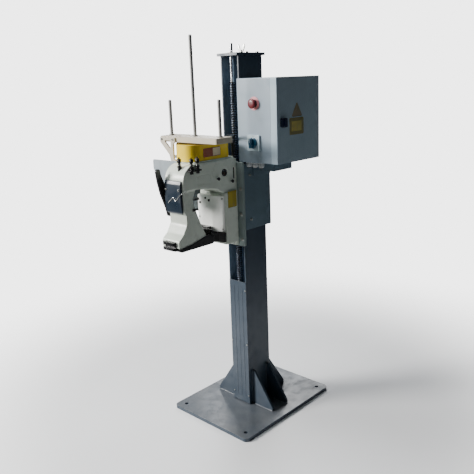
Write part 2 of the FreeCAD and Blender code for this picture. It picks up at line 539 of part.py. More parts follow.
def make_thread_path(nodes):
    ledge_low = 1160
    side_x = HEAD_X + 12
    ledge = plate(HEAD_X, HEAD_X + 22, -394, -332, ledge_low, ledge_low + 5, "z", 3)
    posts = []
    knob_low, knob_high, stud_r = 1192, 1208, 3
    for number, (x, y) in enumerate(((14, -393), (side_x, -378), (side_x, -346)), start=1):
        stud = rod(stud_r, (x, y, ledge_low + 5), (x, y, 1214))
        foot = rod(7, (x, y, ledge_low - 10), (x, y, ledge_low + 11)).cut(nodes["head_top_housing"])
        discs = [rod(10, (x, y, ledge_low + 14 + 4 * i), (x, y, ledge_low + 15.5 + 4 * i)) for i in (0, 1)]
        spacer = rod(5.5, (x, y, ledge_low + 11), (x, y, knob_low - 1))
        posts += [stud, foot, spacer] + discs
        nodes["tension_knob_%d" % number] = tube(8, stud_r + RUN, (x, y, knob_low), (x, y, knob_high))
    nodes["tension_posts"] = group(fuse([ledge] + posts).cut(nodes["head_top_housing"]).Solids)

    guides = []
    x = HEAD_X
    for y, z in ((-150, 1090), (-230, 1110)):
        outward = rod(3, (x, y, z), (x + 9, y, z))
        eye = tube(6.5, 2.5, (x + 9, y, z), (x + 12, y, z))
        guides.append(fuse([outward, eye, rod(3, (x + 8, y, z + 4), (x + 12, y, z + 4))]))
    for y, z in ((-346, 1046), (-352, 1004)):
        guides.append(fuse([block(LEG_X, LEG_X + 5, y - 18, y, z - 4, z + 4),
                            rod(4, (LEG_X, y + 4, z), (LEG_X + 9, y + 4, z))]))
    nodes["thread_guides"] = group(guides)


def make_foot_parts(nodes):
    pivot_y, pivot_z, pin_r = -392, 985, 5
    x0, x1 = -LEG_X - 14, -LEG_X - 5
    outline = [(pivot_y - 13, pivot_z - 13), (pivot_y + 13, pivot_z - 13), (pivot_y + 14, pivot_z + 28),
               (-404, 1080), (-431, 1146), (-436, 1172), (-455, 1164), (-448, 1115), (-437, 1070),
               (pivot_y - 22, pivot_z + 24)]
    lever = prism(outline, "x", x0, x1, [12, 12, 40, 60, 20, 8, 8, 60, 60, 20])
    nodes["lift_lever"] = lever.cut(rod(pin_r + RUN, (x0, pivot_y, pivot_z), (x1, pivot_y, pivot_z)))
    shoulder = rod(10, (-LEG_X - 4.9, pivot_y, pivot_z), (-LEG_X, pivot_y, pivot_z))
    shank = rod(pin_r, (x0 - 0.1, pivot_y, pivot_z), (-LEG_X - 4.9, pivot_y, pivot_z))
    head = rod(9, (x0 - 5, pivot_y, pivot_z), (x0 - 0.1, pivot_y, pivot_z))
    nodes["lever_pins"] = group([needle_lever_pin(), fuse([shoulder, shank, head])])

    foot_y = -450
    body = plate(-28, 34, foot_y - 5, foot_y, 850, 888, "y", 3)
    jaws = []
    for z in (854, 876):
        jaw = [(36, foot_y - 5), (32, foot_y - 16), (-22, foot_y - 17), (-36, foot_y - 11), (-32, foot_y - 5)]
        jaws.append(prism(jaw, "z", z, z + 11, [0, 5, 6, 2, 0]))
    nodes["chain_cutter"] = fuse([body] + jaws)


# ---- control box --------------------------------------------------------------------------------
def make_control_box(nodes):
    shell = plate(BOX_LEFT, BOX_RIGHT, BOX_FRONT, BOX_REAR, BOX_LOW, BOX_HIGH, "x", 4)
    room = plate(BOX_LEFT + BOX_T, BOX_RIGHT, BOX_FRONT + BOX_T, BOX_REAR - BOX_T, BOX_LOW + BOX_T,
                 BOX_HIGH - BOX_T, "x", 2)
    shell = shell.cut(room)
    shell = shell.cut(rod(BUTTON_STEM_R + RUN, (BUTTON_X, BOX_FRONT - 1, BUTTON_Z),
                          (BUTTON_X, BOX_FRONT + 5, BUTTON_Z)))
    shell = shell.cut(rod(SWITCH_SHAFT_R + RUN, (SWITCH_X, BOX_FRONT - 1, SWITCH_Z),
                          (SWITCH_X, BOX_FRONT + 5, SWITCH_Z)))

    glands = []
    for x, y in ((84, -66), (118, -66), (152, -66)):
        body = rod(9, (x, y, BOX_LOW - 26), (x, y, BOX_LOW + 10))
        nut = rod(14, (x, y, BOX_LOW - 8), (x, y, BOX_LOW))
        cap = rod(12, (x, y, BOX_LOW - 24), (x, y, BOX_LOW - 11))
        glands.append(fuse([body, nut, cap]).cut(rod(4.5, (x, y, BOX_LOW - 26), (x, y, BOX_LOW + 10))))
        shell = shell.cut(rod(9, (x, y, BOX_LOW - 1), (x, y, BOX_LOW + 5)))
    nodes["cable_glands"] = group(glands)
    nodes["control_box"] = shell

    front, rear, reach, depth = -20, 106, 178, 44
    shelf = plate(SIDE_OUT, reach, front, rear, BOX_LOW - 5, BOX_LOW, "z", 4)
    leg = plate(SIDE_OUT, SIDE_OUT + 6, front, 92, 1092, BOX_LOW - 5, "x", 4)
    end = block(reach - 5, reach, front + 4, rear - 4, BOX_LOW - depth, BOX_LOW - 5)
    sides = [block(SIDE_OUT + 6, reach - 5, y, y + 5, BOX_LOW - depth, BOX_LOW - 5)
             for y in (front + 4, rear - 9)]
    nodes["box_shelf"] = fuse([shelf, leg, end] + sides)

    standoffs = []
    for y in (-70, 150):
        for z in (BOX_LOW + 36, BOX_HIGH - 36):
            standoffs.append(rod(5, (BOX_LEFT + BOX_T, y, z), (BOX_LEFT + BOX_T + 8, y, z)))
    inner = plate(BOX_LEFT + 10, BOX_LEFT + 12, -84, 162, BOX_LOW + 20, BOX_HIGH - 20, "x", 4)

    face = BOX_LEFT + 12
    rail = [block(face, face + 6, -70, 150, z, z + 30) for z in (1400, 1290)]
    devices = [block(face + 6, face + 62, y, y + 44, 1385, 1455) for y in (-60, -10)]
    devices.append(block(face + 6, face + 50, 50, 140, 1390, 1450))
    devices += [block(face + 6, face + 40, -60 + 16 * i, -46 + 16 * i, 1282, 1328) for i in range(10)]
    devices.append(block(face, face + 60, 60, 140, 1190, 1262))
    nodes["switchgear"] = fuse([inner] + standoffs + rail + devices)


def make_door(nodes):
    pan = plate(DOOR_LEFT, DOOR_RIGHT, BOX_FRONT, BOX_REAR, BOX_LOW, BOX_HIGH, "x", 4)
    room = plate(DOOR_LEFT, DOOR_RIGHT - BOX_T, BOX_FRONT + BOX_T, BOX_REAR - BOX_T, BOX_LOW + BOX_T,
                 BOX_HIGH - BOX_T, "x", 2)
    latch_r = 7
    hole = rod(latch_r + RUN, (DOOR_RIGHT - 5, LATCH_Y, LATCH_Z), (DOOR_RIGHT + 1, LATCH_Y, LATCH_Z))
    nodes["control_box_door"] = pan.cut(room).cut(hole)

    half = 18
    grip = plate(DOOR_RIGHT + 0.2, DOOR_RIGHT + 8, LATCH_Y - half, LATCH_Y + half, LATCH_Z - half,
                 LATCH_Z + half, "x", 5)
    key = block(DOOR_RIGHT + 8, DOOR_RIGHT + 12, LATCH_Y - 3, LATCH_Y + 3, LATCH_Z - 13, LATCH_Z + 13)
    stem = rod(latch_r, (DOOR_RIGHT - 14, LATCH_Y, LATCH_Z), (DOOR_RIGHT + 1, LATCH_Y, LATCH_Z))
    cam = plate(DOOR_RIGHT - 14, DOOR_RIGHT - 11, LATCH_Y - 9, LATCH_Y + 9, LATCH_Z - 9, LATCH_Z + 22, "x", 6)
    nodes["door_latch"] = fuse([grip, key, stem, cam])

    fixed, moving = [], []
    for z in (1230, 1395):
        leaf = plate(HINGE_X - 34, HINGE_X - 3, BOX_REAR, BOX_REAR + 2, z, z + 40, "y", 3)
        web = block(HINGE_X - 6, HINGE_X - 1, BOX_REAR, HINGE_Y, z, z + 19)
        barrel = rod(HINGE_R, (HINGE_X, HINGE_Y, z), (HINGE_X, HINGE_Y, z + 19))
        pin = rod(HINGE_PIN_R, (HINGE_X, HINGE_Y, z), (HINGE_X, HINGE_Y, z + 40))
        knuckle_room = block(HINGE_X - 6, HINGE_X, BOX_REAR, HINGE_Y + HINGE_R, z + 19, z + 40)
        fixed.append(fuse([leaf.cut(knuckle_room), web, barrel, pin]))
        start = (HINGE_X, HINGE_Y, z + 19.2)
        end = (HINGE_X, HINGE_Y, z + 40)
        hollow = rod(HINGE_PIN_R + RUN, start, end)
        door_leaf = plate(HINGE_X + 3, HINGE_X + 27, BOX_REAR, BOX_REAR + 2, z + 2, z + 40, "y", 3)
        door_web = block(HINGE_X + 1, HINGE_X + 6, BOX_REAR, HINGE_Y, z + 21, z + 40)
        moving.append(fuse([door_leaf, door_web, rod(HINGE_R, start, end)]).cut(hollow))
    nodes["control_box"] = fuse([nodes["control_box"]] + fixed)
    nodes["control_box_door"] = fuse([nodes["control_box_door"]] + moving)


def make_controls(nodes):
    stem = rod(BUTTON_STEM_R, (BUTTON_X, BOX_FRONT - 14, BUTTON_Z), (BUTTON_X, BOX_FRONT + 6, BUTTON_Z))
    dome = rod(18, (BUTTON_X, BOX_FRONT - 18, BUTTON_Z), (BUTTON_X, BOX_FRONT - 12, BUTTON_Z))
    crown = cone(13, 18, (BUTTON_X, BOX_FRONT - 22, BUTTON_Z), (BUTTON_X, BOX_FRONT - 18, BUTTON_Z))
    nodes["stop_button"] = fuse([stem, dome, crown])

    half = 32
    square = plate(SWITCH_X - half, SWITCH_X + half, BOX_FRONT - 8, BOX_FRONT, SWITCH_Z - half,
                   SWITCH_Z + half, "y", 5)
    square = square.cut(rod(SWITCH_SHAFT_R + RUN, (SWITCH_X, BOX_FRONT - 8, SWITCH_Z),
                            (SWITCH_X, BOX_FRONT, SWITCH_Z)))
    nodes["switch_escutcheon"] = square
    front = BOX_FRONT - 8
    disc = rod(22, (SWITCH_X, front - 8, SWITCH_Z), (SWITCH_X, front - 0.3, SWITCH_Z))
    grip = plate(SWITCH_X - 7, SWITCH_X + 7, front - 22, front - 8, SWITCH_Z - 21, SWITCH_Z + 21, "y", 6)
    spindle = rod(SWITCH_SHAFT_R, (SWITCH_X, front - 8, SWITCH_Z), (SWITCH_X, BOX_FRONT + 8, SWITCH_Z))
    nodes["switch_knob"] = fuse([disc, grip, spindle])


# ---- build --------------------------------------------------------------------------------------
def build():
    nodes = {}
    make_base(nodes)
    make_column(nodes)
    make_lift_screw(nodes)
    fasteners = make_carriage(nodes)
    fasteners += make_top_housing(nodes)
    fasteners += make_front_leg(nodes)
    fasteners += make_rear_leg(nodes)
    make_head_shafts(nodes)
    make_drive(nodes)
    fasteners += make_motor_shield(nodes)
    fasteners += make_thread_stand(nodes)
    nodes["carriage_fasteners"] = group(fasteners)
    make_thread_path(nodes)
    make_foot_parts(nodes)
    make_control_box(nodes)
    make_door(nodes)
    make_controls(nodes)
    return nodes


os.makedirs("parts", exist_ok=True)
NODES = build()
for name, shape in NODES.items():
    if not shape.isValid():
        print("not valid:", name)
    shape.exportStep("parts/%s.step" % name)
print(len(NODES), "nodes")
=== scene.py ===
"""Looks of a bag closing sewing station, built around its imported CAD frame.

Same axes as the CAD: +Z up, the sewing head on the -Y side, the control box on the +X side.
The scene is in metres; the mesh helpers draw in millimetres.
"""
import json
import math

import bmesh
import bpy
from mathutils import Matrix, Vector


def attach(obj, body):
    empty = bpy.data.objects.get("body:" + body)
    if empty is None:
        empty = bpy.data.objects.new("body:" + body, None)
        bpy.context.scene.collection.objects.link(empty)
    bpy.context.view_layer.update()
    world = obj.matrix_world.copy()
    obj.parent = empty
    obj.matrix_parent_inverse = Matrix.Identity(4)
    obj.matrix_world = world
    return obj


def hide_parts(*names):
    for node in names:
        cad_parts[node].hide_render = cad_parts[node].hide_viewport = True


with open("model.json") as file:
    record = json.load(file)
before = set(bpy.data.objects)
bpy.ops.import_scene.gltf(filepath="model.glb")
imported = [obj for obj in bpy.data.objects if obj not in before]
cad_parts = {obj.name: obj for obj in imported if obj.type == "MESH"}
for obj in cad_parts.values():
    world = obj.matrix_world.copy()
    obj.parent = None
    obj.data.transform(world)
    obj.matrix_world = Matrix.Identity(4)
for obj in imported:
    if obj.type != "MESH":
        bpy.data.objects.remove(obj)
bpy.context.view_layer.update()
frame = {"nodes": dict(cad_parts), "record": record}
NODES = frame["nodes"]
MM = 0.001
SMOOTH_ANGLE = math.radians(38)
RIGHT, FRONT, UP = (1, 0, 0), (0, -1, 0), (0, 0, 1)

# Places of the CAD frame that the detailed pieces keep, in millimetres.
COLUMN_X, COLUMN_Y = 50, 75                     # half width and half depth of the column
SCREW_Y, THREAD_LOW, THREAD_HIGH = -60, 78, 1488
MOTOR_X, MOTOR_Y, MOTOR_TOP = -160, -185, 1158
BOX_FRONT, BOX_LOW, DOOR_FACE = -100, 1164, 267
GLANDS = ((84, -66), (118, -66), (152, -66))    # x and y of each
BUTTON_X, BUTTON_Z = 152, 1402
SWITCH_X, SWITCH_Z, SWITCH_FACE = 147, 1246, -108
TENSIONS = ((14, -393), (67, -378), (67, -346))
WINDOW = (47.4, -186, 1130)                     # middle of the oil window's inner end


def rgb(red, green, blue):
    """A screen colour from 0 to 255 as linear light."""
    linear = []
    for value in (red, green, blue):
        share = value / 255
        linear.append(share / 12.92 if share <= 0.04045 else ((share + 0.055) / 1.055) ** 2.4)
    return (*linear, 1)


def shade(color, factor):
    """A colour made darker or lighter by a factor."""
    return (*[min(1, c * factor) for c in color[:3]], 1)


# ---- materials ----------------------------------------------------------------------------------
class Graph:
    """Adds shader nodes to one material and joins them up."""

    def __init__(self, name, color, rough=0.5, metallic=0.0):
        self.material = bpy.data.materials.new(name)
        self.material.use_nodes = True
        self.material.diffuse_color = color
        self.tree = self.material.node_tree
        self.shader = self.tree.nodes["Principled BSDF"]
        self.set("Base Color", color)
        self.set("Roughness", rough)
        self.set("Metallic", metallic)
        self.coords = self.add("ShaderNodeTexCoord").outputs["Object"]
        self.normal = self.add("ShaderNodeNewGeometry").outputs["Normal"]

    def add(self, kind, inputs=None, **settings):
        """A new node with settings, whose inputs take values or other nodes' outputs."""
        node = self.tree.nodes.new(kind)
        for key, value in settings.items():
            setattr(node, key, value)
        for key, value in (inputs or {}).items():
            self.feed(node.inputs[key], value)
        return node

    def feed(self, socket, value):
        if isinstance(value, bpy.types.NodeSocket):
            self.tree.links.new(value, socket)
        else:
            socket.default_value = value

    def set(self, name, value):
        """Sets or connects an input of the surface shader."""
        self.feed(self.shader.inputs[name], value)

    def moved(self, stretch=(1, 1, 1), centre=(0, 0, 0)):
        """Object coordinates about a centre, stretched along the axes."""
        shifted = self.add("ShaderNodeVectorMath", {0: self.coords, 1: centre}, operation="SUBTRACT")
        scaled = self.add("ShaderNodeVectorMath", {0: shifted.outputs[0], 1: stretch}, operation="MULTIPLY")
        return scaled.outputs[0]

    def noise(self, scale, detail=3.0, stretch=(1, 1, 1), distortion=0.0):
        node = self.add("ShaderNodeTexNoise", {"Vector": self.moved(stretch), "Scale": scale,
                                               "Detail": detail, "Distortion": distortion})
        return node.outputs["Fac"]

    def math(self, operation, a, b=0.0, clamp=False):
        node = self.add("ShaderNodeMath", {0: a, 1: b}, operation=operation, use_clamp=clamp)
        return node.outputs[0]

    def times(self, a, b):
        return self.math("MULTIPLY", a, b)

    def ramp(self, value, low, high, to_low=0.0, to_high=1.0):
        """A smooth step from to_low, below low, up to to_high, above high."""
        node = self.add("ShaderNodeMapRange", {"Value": value, "From Min": low, "From Max": high,
                                               "To Min": to_low, "To Max": to_high},
                        interpolation_type="SMOOTHSTEP")
        return node.outputs["Result"]

    def mix(self, share, a, b):
        """Colour a at a share of 0, colour b at 1."""
        node = self.add("ShaderNodeMix", data_type="RGBA")
        for index, value in ((0, share), (6, a), (7, b)):
            self.feed(node.inputs[index], value)
        return node.outputs[2]

    def edges(self, radius):
        """Near 1 within a radius of an outer or inner edge, 0 on open faces."""
        bevel = self.add("ShaderNodeBevel", {"Radius": radius}, samples=4)
        same = self.add("ShaderNodeVectorMath", {0: bevel.outputs[0], 1: self.normal},
                        operation="DOT_PRODUCT")
        return self.ramp(self.math("SUBTRACT", 1.0, same.outputs["Value"]), 0.01, 0.2)

    def soften(self, radius, heights=()):
        """Rounded-looking edges with any number of (height, distance) bumps on top."""
        normal = self.add("ShaderNodeBevel", {"Radius": radius}, samples=4).outputs[0]
        for height, distance in heights:
            normal = self.add("ShaderNodeBump", {"Height": height, "Distance": distance, "Normal": normal,
                                                 "Strength": 1.0}).outputs[0]
        self.set("Normal", normal)

    def in_channel(self):
        """1 inside the column's channel, 0 on its outer faces and front edges."""
        half_width, web_y, front_y = 0.0442, 0.0695, -0.0745
        parts = self.add("ShaderNodeSeparateXYZ", {0: self.coords}).outputs
        inside = self.math("LESS_THAN", self.math("ABSOLUTE", parts["X"]), half_width)
        inside = self.times(inside, self.math("LESS_THAN", parts["Y"], web_y))
        return self.times(inside, self.math("GREATER_THAN", parts["Y"], front_y))

    def facing_up(self):
        """1 on faces that look up, 0 on upright ones."""
        z = self.add("ShaderNodeSeparateXYZ", {0: self.normal}).outputs["Z"]
        return self.ramp(z, 0.55, 0.98)


def paint(name, color, rough=0.42, cloud=0.08, wear=0.35, dust=0.25, streak=0.15, cast=0.0, peel=0.00012,
          under=rgb(150, 146, 138), stain=rgb(72, 60, 44), stains=0.0, painted_channel_light=None):
    """Sprayed paint: uneven tone, run-down streaks, settled dust, chipped edges and orange peel.

    With this colour, the inside of the column's open channel is painted lighter than the outside: painted
    light standing in for the light that reaches into the channel.
    """
    g = Graph(name, color, rough)
    tone = g.mix(g.ramp(g.noise(5, 4), 0.3, 0.7), shade(color, 1 - cloud), shade(color, 1 + cloud))
    lines = g.ramp(g.noise(14, 5, (1, 1, 0.08)), 0.5, 0.75)
    tone = g.mix(g.times(lines, streak), tone, shade(color, 0.55))
    if stains:
        blotch = g.ramp(g.noise(16, 6, distortion=1.2), 0.6, 0.78)
        tone = g.mix(g.times(blotch, stains), tone, stain)
    settled = g.times(g.facing_up(), g.ramp(g.noise(9, 8), 0.2, 0.85, 0.35, 0.8))
    settled = g.times(settled, dust)
    tone = g.mix(settled, tone, rgb(168, 160, 146))
    chips = g.times(g.edges(0.0022), g.ramp(g.noise(70, 5), 0.42, 0.62))
    specks = g.ramp(g.noise(260, 2), 0.74, 0.8)
    worn = g.math("ADD", chips, g.times(specks, 0.4))
    worn = g.math("MULTIPLY", worn, wear, clamp=True)
    tone = g.mix(worn, tone, under)
    # Painted light: the channel's inside is lightened to stand in for the light that reaches into it.
    if painted_channel_light:
        tone = g.mix(g.in_channel(), tone, painted_channel_light)
    g.set("Base Color", tone)
    rough_map = g.ramp(g.noise(22, 5), 0.3, 0.75, rough * 0.8, min(1, rough * 1.35))
    g.set("Roughness", g.math("ADD", rough_map, g.times(settled, 0.35), clamp=True))
    heights = [(g.noise(620, 2), peel)]
    if cast:
        heights.append((g.noise(130, 4), cast))
        heights.append((g.noise(28, 3), cast * 2.2))
    g.soften(0.0012 if not cast else 0.002, heights)
    g.set("Coat Weight", 0.12)
    g.set("Coat Roughness", 0.25)
    return g.material


def metal(name, color, rough=0.3, grain=(40, 40, 40), spots=rgb(96, 78, 58), spotted=0.2, turned=None,
          groove=0.00003, bare=1.0):
    """Bare or plated metal: brushed along its grain, or turned about an axis, with light oxide spots."""
    g = Graph(name, color, rough, bare)
    lines = g.noise(60, 3, tuple(v / 40 for v in grain))
    if turned:
        centre, axis = turned
        flat = tuple(0 if i == axis else 1 for i in range(3))
        radius = g.add("ShaderNodeVectorMath", {0: g.moved(flat, centre)}, operation="LENGTH")
        rings_per_metre = 900.0
        count = g.times(radius.outputs["Value"], rings_per_metre)
        rings = g.add("ShaderNodeTexNoise", {"W": count, "Scale": 1.0, "Detail": 2.0},
                      noise_dimensions="1D")
        lines = rings.outputs["Fac"]
    tone = g.mix(g.ramp(lines, 0.3, 0.7), shade(color, 0.8), shade(color, 1.12))
    rust = g.times(g.ramp(g.noise(45, 6, distortion=0.8), 0.58, 0.72), spotted)
    g.set("Base Color", g.mix(rust, tone, spots))
    worn = g.times(g.edges(0.0012), 0.12)
    dulled = g.math("ADD", g.ramp(lines, 0.25, 0.75, rough * 0.75, rough * 1.3), g.times(rust, 0.4))
    g.set("Roughness", g.math("SUBTRACT", dulled, worn, clamp=True))
    g.soften(0.0006, [(lines, groove)])
    return g.material


def plastic(name, color, rough=0.35, grain=0.00004, sheen=0.0, dirt=0.2):
    """Moulded plastic: fine spark-eroded grain, a little uneven gloss and grime in its corners."""
    g = Graph(name, color, rough)
    tone = g.mix(g.ramp(g.noise(18, 4), 0.3, 0.7), shade(color, 0.9), shade(color, 1.1))
    grime = g.times(g.ramp(g.noise(55, 6), 0.5, 0.7), dirt)
    g.set("Base Color", g.mix(grime, tone, shade(color, 0.5)))
    g.set("Roughness", g.ramp(g.noise(40, 5), 0.3, 0.7, rough * 0.75, rough * 1.4))
    g.soften(0.0008, [(g.noise(1500, 2), grain)])
    g.set("Coat Weight", sheen)
    return g.material


def blackened(name, color, rough=0.45, oil=0.4, cast=0.0002):
    """Blackened iron with a patchy oil film, worn bright along its edges."""
    g = Graph(name, color, rough, 0.35)
    tone = g.mix(g.ramp(g.noise(35, 5), 0.35, 0.7), shade(color, 0.7), shade(color, 1.7))
    bright = g.times(g.edges(0.0016), g.ramp(g.noise(120, 4), 0.45, 0.65))
    g.set("Base Color", g.mix(g.times(bright, 0.5), tone, rgb(132, 128, 122)))
    g.set("Roughness", g.ramp(g.noise(12, 3), 0.4, 0.6, rough * (1 - oil), rough * 1.2))
    g.soften(0.0012, [(g.noise(240, 4), cast)])
    return g.material


def placard(name, colors, box, axis, frame_share=0.06):
    """A blank printed panel: a border, a field and a second field, split at a share along its length."""
    border, field, second, split = colors
    low, high = [Vector(corner) * MM for corner in box]
    g = Graph(name, field, 0.38)
    parts = g.add("ShaderNodeSeparateXYZ", {0: g.coords})
    shares = []
    for i in range(3):
        if i != axis:
            span = high[i] - low[i]
            part = g.math("DIVIDE", g.math("SUBTRACT", parts.outputs[i], low[i]), span)
            shares.append((part, span))
    reach = frame_share * min(span for _, span in shares)
    inside = None
    for part, span in shares:
        near = g.math("MINIMUM", part, g.math("SUBTRACT", 1.0, part))
        step = g.math("GREATER_THAN", near, reach / span)
        inside = step if inside is None else g.times(inside, step)
    beyond = g.math("GREATER_THAN", shares[0][0], split)
    tone = g.mix(inside, border, g.mix(beyond, field, second))
    faded = g.ramp(g.noise(60, 6, distortion=0.6), 0.5, 0.75)
    tone = g.mix(g.times(faded, 0.35), tone, rgb(150, 140, 120))
    g.set("Base Color", tone)
    g.soften(0.0004, [(g.noise(900, 2), 0.00003)])
    return g.material


SLATE = rgb(46, 60, 74)
MATERIALS = {
    "column_paint": paint("column_paint", SLATE, 0.4, wear=0.3, dust=0.2, streak=0.3),
    "carriage_paint": paint("carriage_paint", rgb(92, 112, 124), 0.42, wear=0.3, dust=0.25, streak=0.22),
    "head_enamel": paint("head_enamel", rgb(208, 216, 204), 0.3, cloud=0.05, wear=0.22, dust=0.18,
                         streak=0.12, cast=0.00018, stains=0.22),
    "cover_blue": paint("cover_blue", rgb(28, 41, 54), 0.3, wear=0.3, dust=0.1),
    "guard_yellow": paint("guard_yellow", rgb(238, 204, 44), 0.34, cloud=0.07, wear=0.4, dust=0.3,
                          streak=0.12, stains=0.2),
    "motor_paint": paint("motor_paint", rgb(96, 106, 112), 0.4, cast=0.00015, wear=0.3, dust=0.4),
    "tray_paint": paint("tray_paint", rgb(196, 187, 169), 0.45, wear=0.4, dust=0.3, stains=0.25),
    "box_paint": paint("box_paint", rgb(138, 154, 167), 0.45, cloud=0.04, wear=0.12, dust=0.15, streak=0.1,
                       peel=0.0002),
    "black_iron": blackened("black_iron", rgb(38, 38, 40)),
    "screw_steel": metal("screw_steel", rgb(186, 188, 190), 0.28, (40, 40, 200)),
    "rod_steel": metal("rod_steel", rgb(152, 152, 150), 0.48, (160, 160, 6), spotted=0.3, bare=0.35),
    "zinc_steel": metal("zinc_steel", rgb(184, 186, 182), 0.36, spots=rgb(150, 138, 96), spotted=0.4),
    "pulley_aluminium": metal("pulley_aluminium", rgb(204, 206, 208), 0.3, turned=((0, -0.307, 1.215), 2)),
    "bronze": metal("bronze", rgb(176, 134, 72), 0.32, spots=rgb(84, 60, 32), spotted=0.5),
    "belt_rubber": plastic("belt_rubber", rgb(30, 30, 30), 0.7, 0.0002),
    "pad_plastic": plastic("pad_plastic", rgb(216, 212, 196), 0.5),
    "gland_plastic": plastic("gland_plastic", rgb(190, 194, 194), 0.45),
    "switchgear_plastic": plastic("switchgear_plastic", rgb(186, 186, 180), 0.5),
    "pale_plastic": plastic("pale_plastic", rgb(190, 208, 216), 0.3, sheen=0.3),
    "navy_plastic": plastic("navy_plastic", rgb(20, 32, 66), 0.35, sheen=0.2),
    "red_plastic": plastic("red_plastic", rgb(108, 14, 30), 0.42, sheen=0.15, dirt=0.3),
    "teal_plastic": plastic("teal_plastic", rgb(22, 72, 98), 0.28, sheen=0.4),
}


def window_glass():
    """A sight glass: brown oil up to a level, and dark air over it."""
    g = Graph("window_glass", rgb(34, 38, 34), 0.06)
    z = g.add("ShaderNodeSeparateXYZ", {0: g.coords}).outputs["Z"]
    level = 1.131
    g.set("Base Color", g.mix(g.ramp(z, level - 0.0005, level + 0.0005), rgb(60, 40, 16), rgb(30, 38, 40)))
    g.set("Coat Weight", 1.0)
    g.soften(0.0008, [(g.noise(90, 2), 0.00005)])
    return g.material


MATERIALS["window_glass"] = window_glass()
# A lighter copy of the head's enamel for the looper cover: painted light standing in for the light that
# falls on it through the throat.
LIT_COVER_ENAMEL = paint("cover_enamel_lightened", rgb(238, 240, 235), 0.3, cloud=0.05, wear=0.2, dust=0.12,
                     streak=0.1, cast=0.00018, stains=0.2)
SLOT_OF = {part["node"]: part["material_slot"] for part in frame["record"]["subparts"]}
OWN_FINISH = {
    # The channel's inside gets a lighter paint: painted light for the light that reaches into it.
    "column": paint("column_channel", SLATE, 0.4, wear=0.3, dust=0.2, streak=0.3,
                    painted_channel_light=rgb(112, 132, 152)),
    # A lighter copy of the box paint on the door: painted light standing in for the brighter light on the
    # door's rim.
    "control_box_door": paint("door_paint_lightened", rgb(162, 182, 194), 0.45, cloud=0.04, wear=0.12, dust=0.15,
                              streak=0.1, peel=0.0002),
    # Lighter paint on the front plate: painted light that offsets the head's shadow falling on it.
    "carriage_front_plate": paint("front_plate_paint_lightened", rgb(136, 150, 148), wear=0.3, streak=0.22),
    "motor_shield": paint("shield_paint", rgb(150, 160, 166), 0.45, cloud=0.06, wear=0.3, dust=0.2,
                          streak=0.2, stains=0.15),
}
for node_name, node in NODES.items():
    node.data.materials.clear()
    node.data.materials.append(OWN_FINISH.get(node_name) or MATERIALS[SLOT_OF[node_name]])


# ---- mesh helpers: everything is drawn in millimetres and scaled once, in finish_piece ------------
def mesh_of(bm, name):
    """Turns a bmesh into a mesh and frees it."""
    mesh = bpy.data.meshes.new(name)
    bm.to_mesh(mesh)
    bm.free()
    return mesh


def to_metres(bm):
    """Turns a drawing's faces outward and scales it from millimetres."""
    bmesh.ops.recalc_face_normals(bm, faces=bm.faces)
    bmesh.ops.scale(bm, vec=(MM, MM, MM), verts=bm.verts)


def add_object(name, data):
    """A new object in the scene."""
    made = bpy.data.objects.new(name, data)
    bpy.context.scene.collection.objects.link(made)
    return made


def finish_piece(name, bm, body, slot, material=None, bevel=0.0):
    """Turns a drawing in millimetres into a piece that rides a body."""
    bmesh.ops.remove_doubles(bm, verts=bm.verts, dist=0.001)
    to_metres(bm)
    return place(name, mesh_of(bm, name), body, slot, material, bevel)


def place(name, mesh, body, slot, material=None, bevel=0.0):
    """Shows a mesh as a piece; a bevel in millimetres rounds its sharp edges."""
    mesh.materials.clear()
    mesh.materials.append(material or MATERIALS[slot])
    mesh.polygons.foreach_set("use_smooth", [True] * len(mesh.polygons))
    mesh.set_sharp_from_angle(angle=SMOOTH_ANGLE)
    piece = add_object(name, mesh)
    if bevel:
        rounding = piece.modifiers.new("bevel", "BEVEL")
        rounding.width = bevel * MM
        rounding.segments = 2
        rounding.limit_method = "ANGLE"
        rounding.angle_limit = math.radians(40)
        rounding.harden_normals = True
    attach(piece, body)
    return piece


def add_box(bm, low, high):
    """A box between two corners."""
    made = bmesh.ops.create_cube(bm, size=1)["verts"]
    low, high = Vector(low), Vector(high)
    size, middle = high - low, (high + low) / 2
    for vert in made:
        vert.co = Vector([middle[i] + vert.co[i] * size[i] for i in range(3)])


def frame_of(axis):
    """A rotation that takes +Z to an axis."""
    return Vector(UP).rotation_difference(Vector(axis).normalized()).to_matrix()


def bridge(bm, first, second):
    """Quads between two closed rings of as many points."""
    for i in range(len(first)):
        j = (i + 1) % len(first)
        bm.faces.new((first[i], first[j], second[j], second[i]))


def cap_and_bridge(bm, rings):
    """A closed skin over a row of rings, flat at both ends."""
    for lower, upper in zip(rings, rings[1:]):
        bridge(bm, lower, upper)
    bm.faces.new(rings[0])
    bm.faces.new(rings[-1])


def turned_points(bm, origin, axis, profile, segments, wobble):
    """The (radius, along) pairs at each step round an axis; wobble scales their radii."""
    turn = frame_of(axis)
    columns = []
    for i in range(segments):
        angle = math.tau * i / segments
        column = []
        for radius, along in profile:
            r = radius * (wobble(i, radius, along) if wobble else 1)
            local = Vector((r * math.cos(angle), r * math.sin(angle), along))
            column.append(bm.verts.new(Vector(origin) + turn @ local))
        columns.append(column)
    return columns


def add_lathe(bm, origin, axis, profile, segments=32, wobble=None):
    """Turn (radius, along) pairs about an axis; the first and last rings are capped."""
    columns = turned_points(bm, origin, axis, profile, segments, wobble)
    cap_and_bridge(bm, list(zip(*columns)))


def add_ring(bm, origin, axis, profile, segments=40, wobble=None):
    """Turn a closed (radius, along) loop about an axis: a ring with a hole through it."""
    columns = turned_points(bm, origin, axis, profile, segments, wobble)
    for column, following in zip(columns, columns[1:] + columns[:1]):
        bridge(bm, column, following)


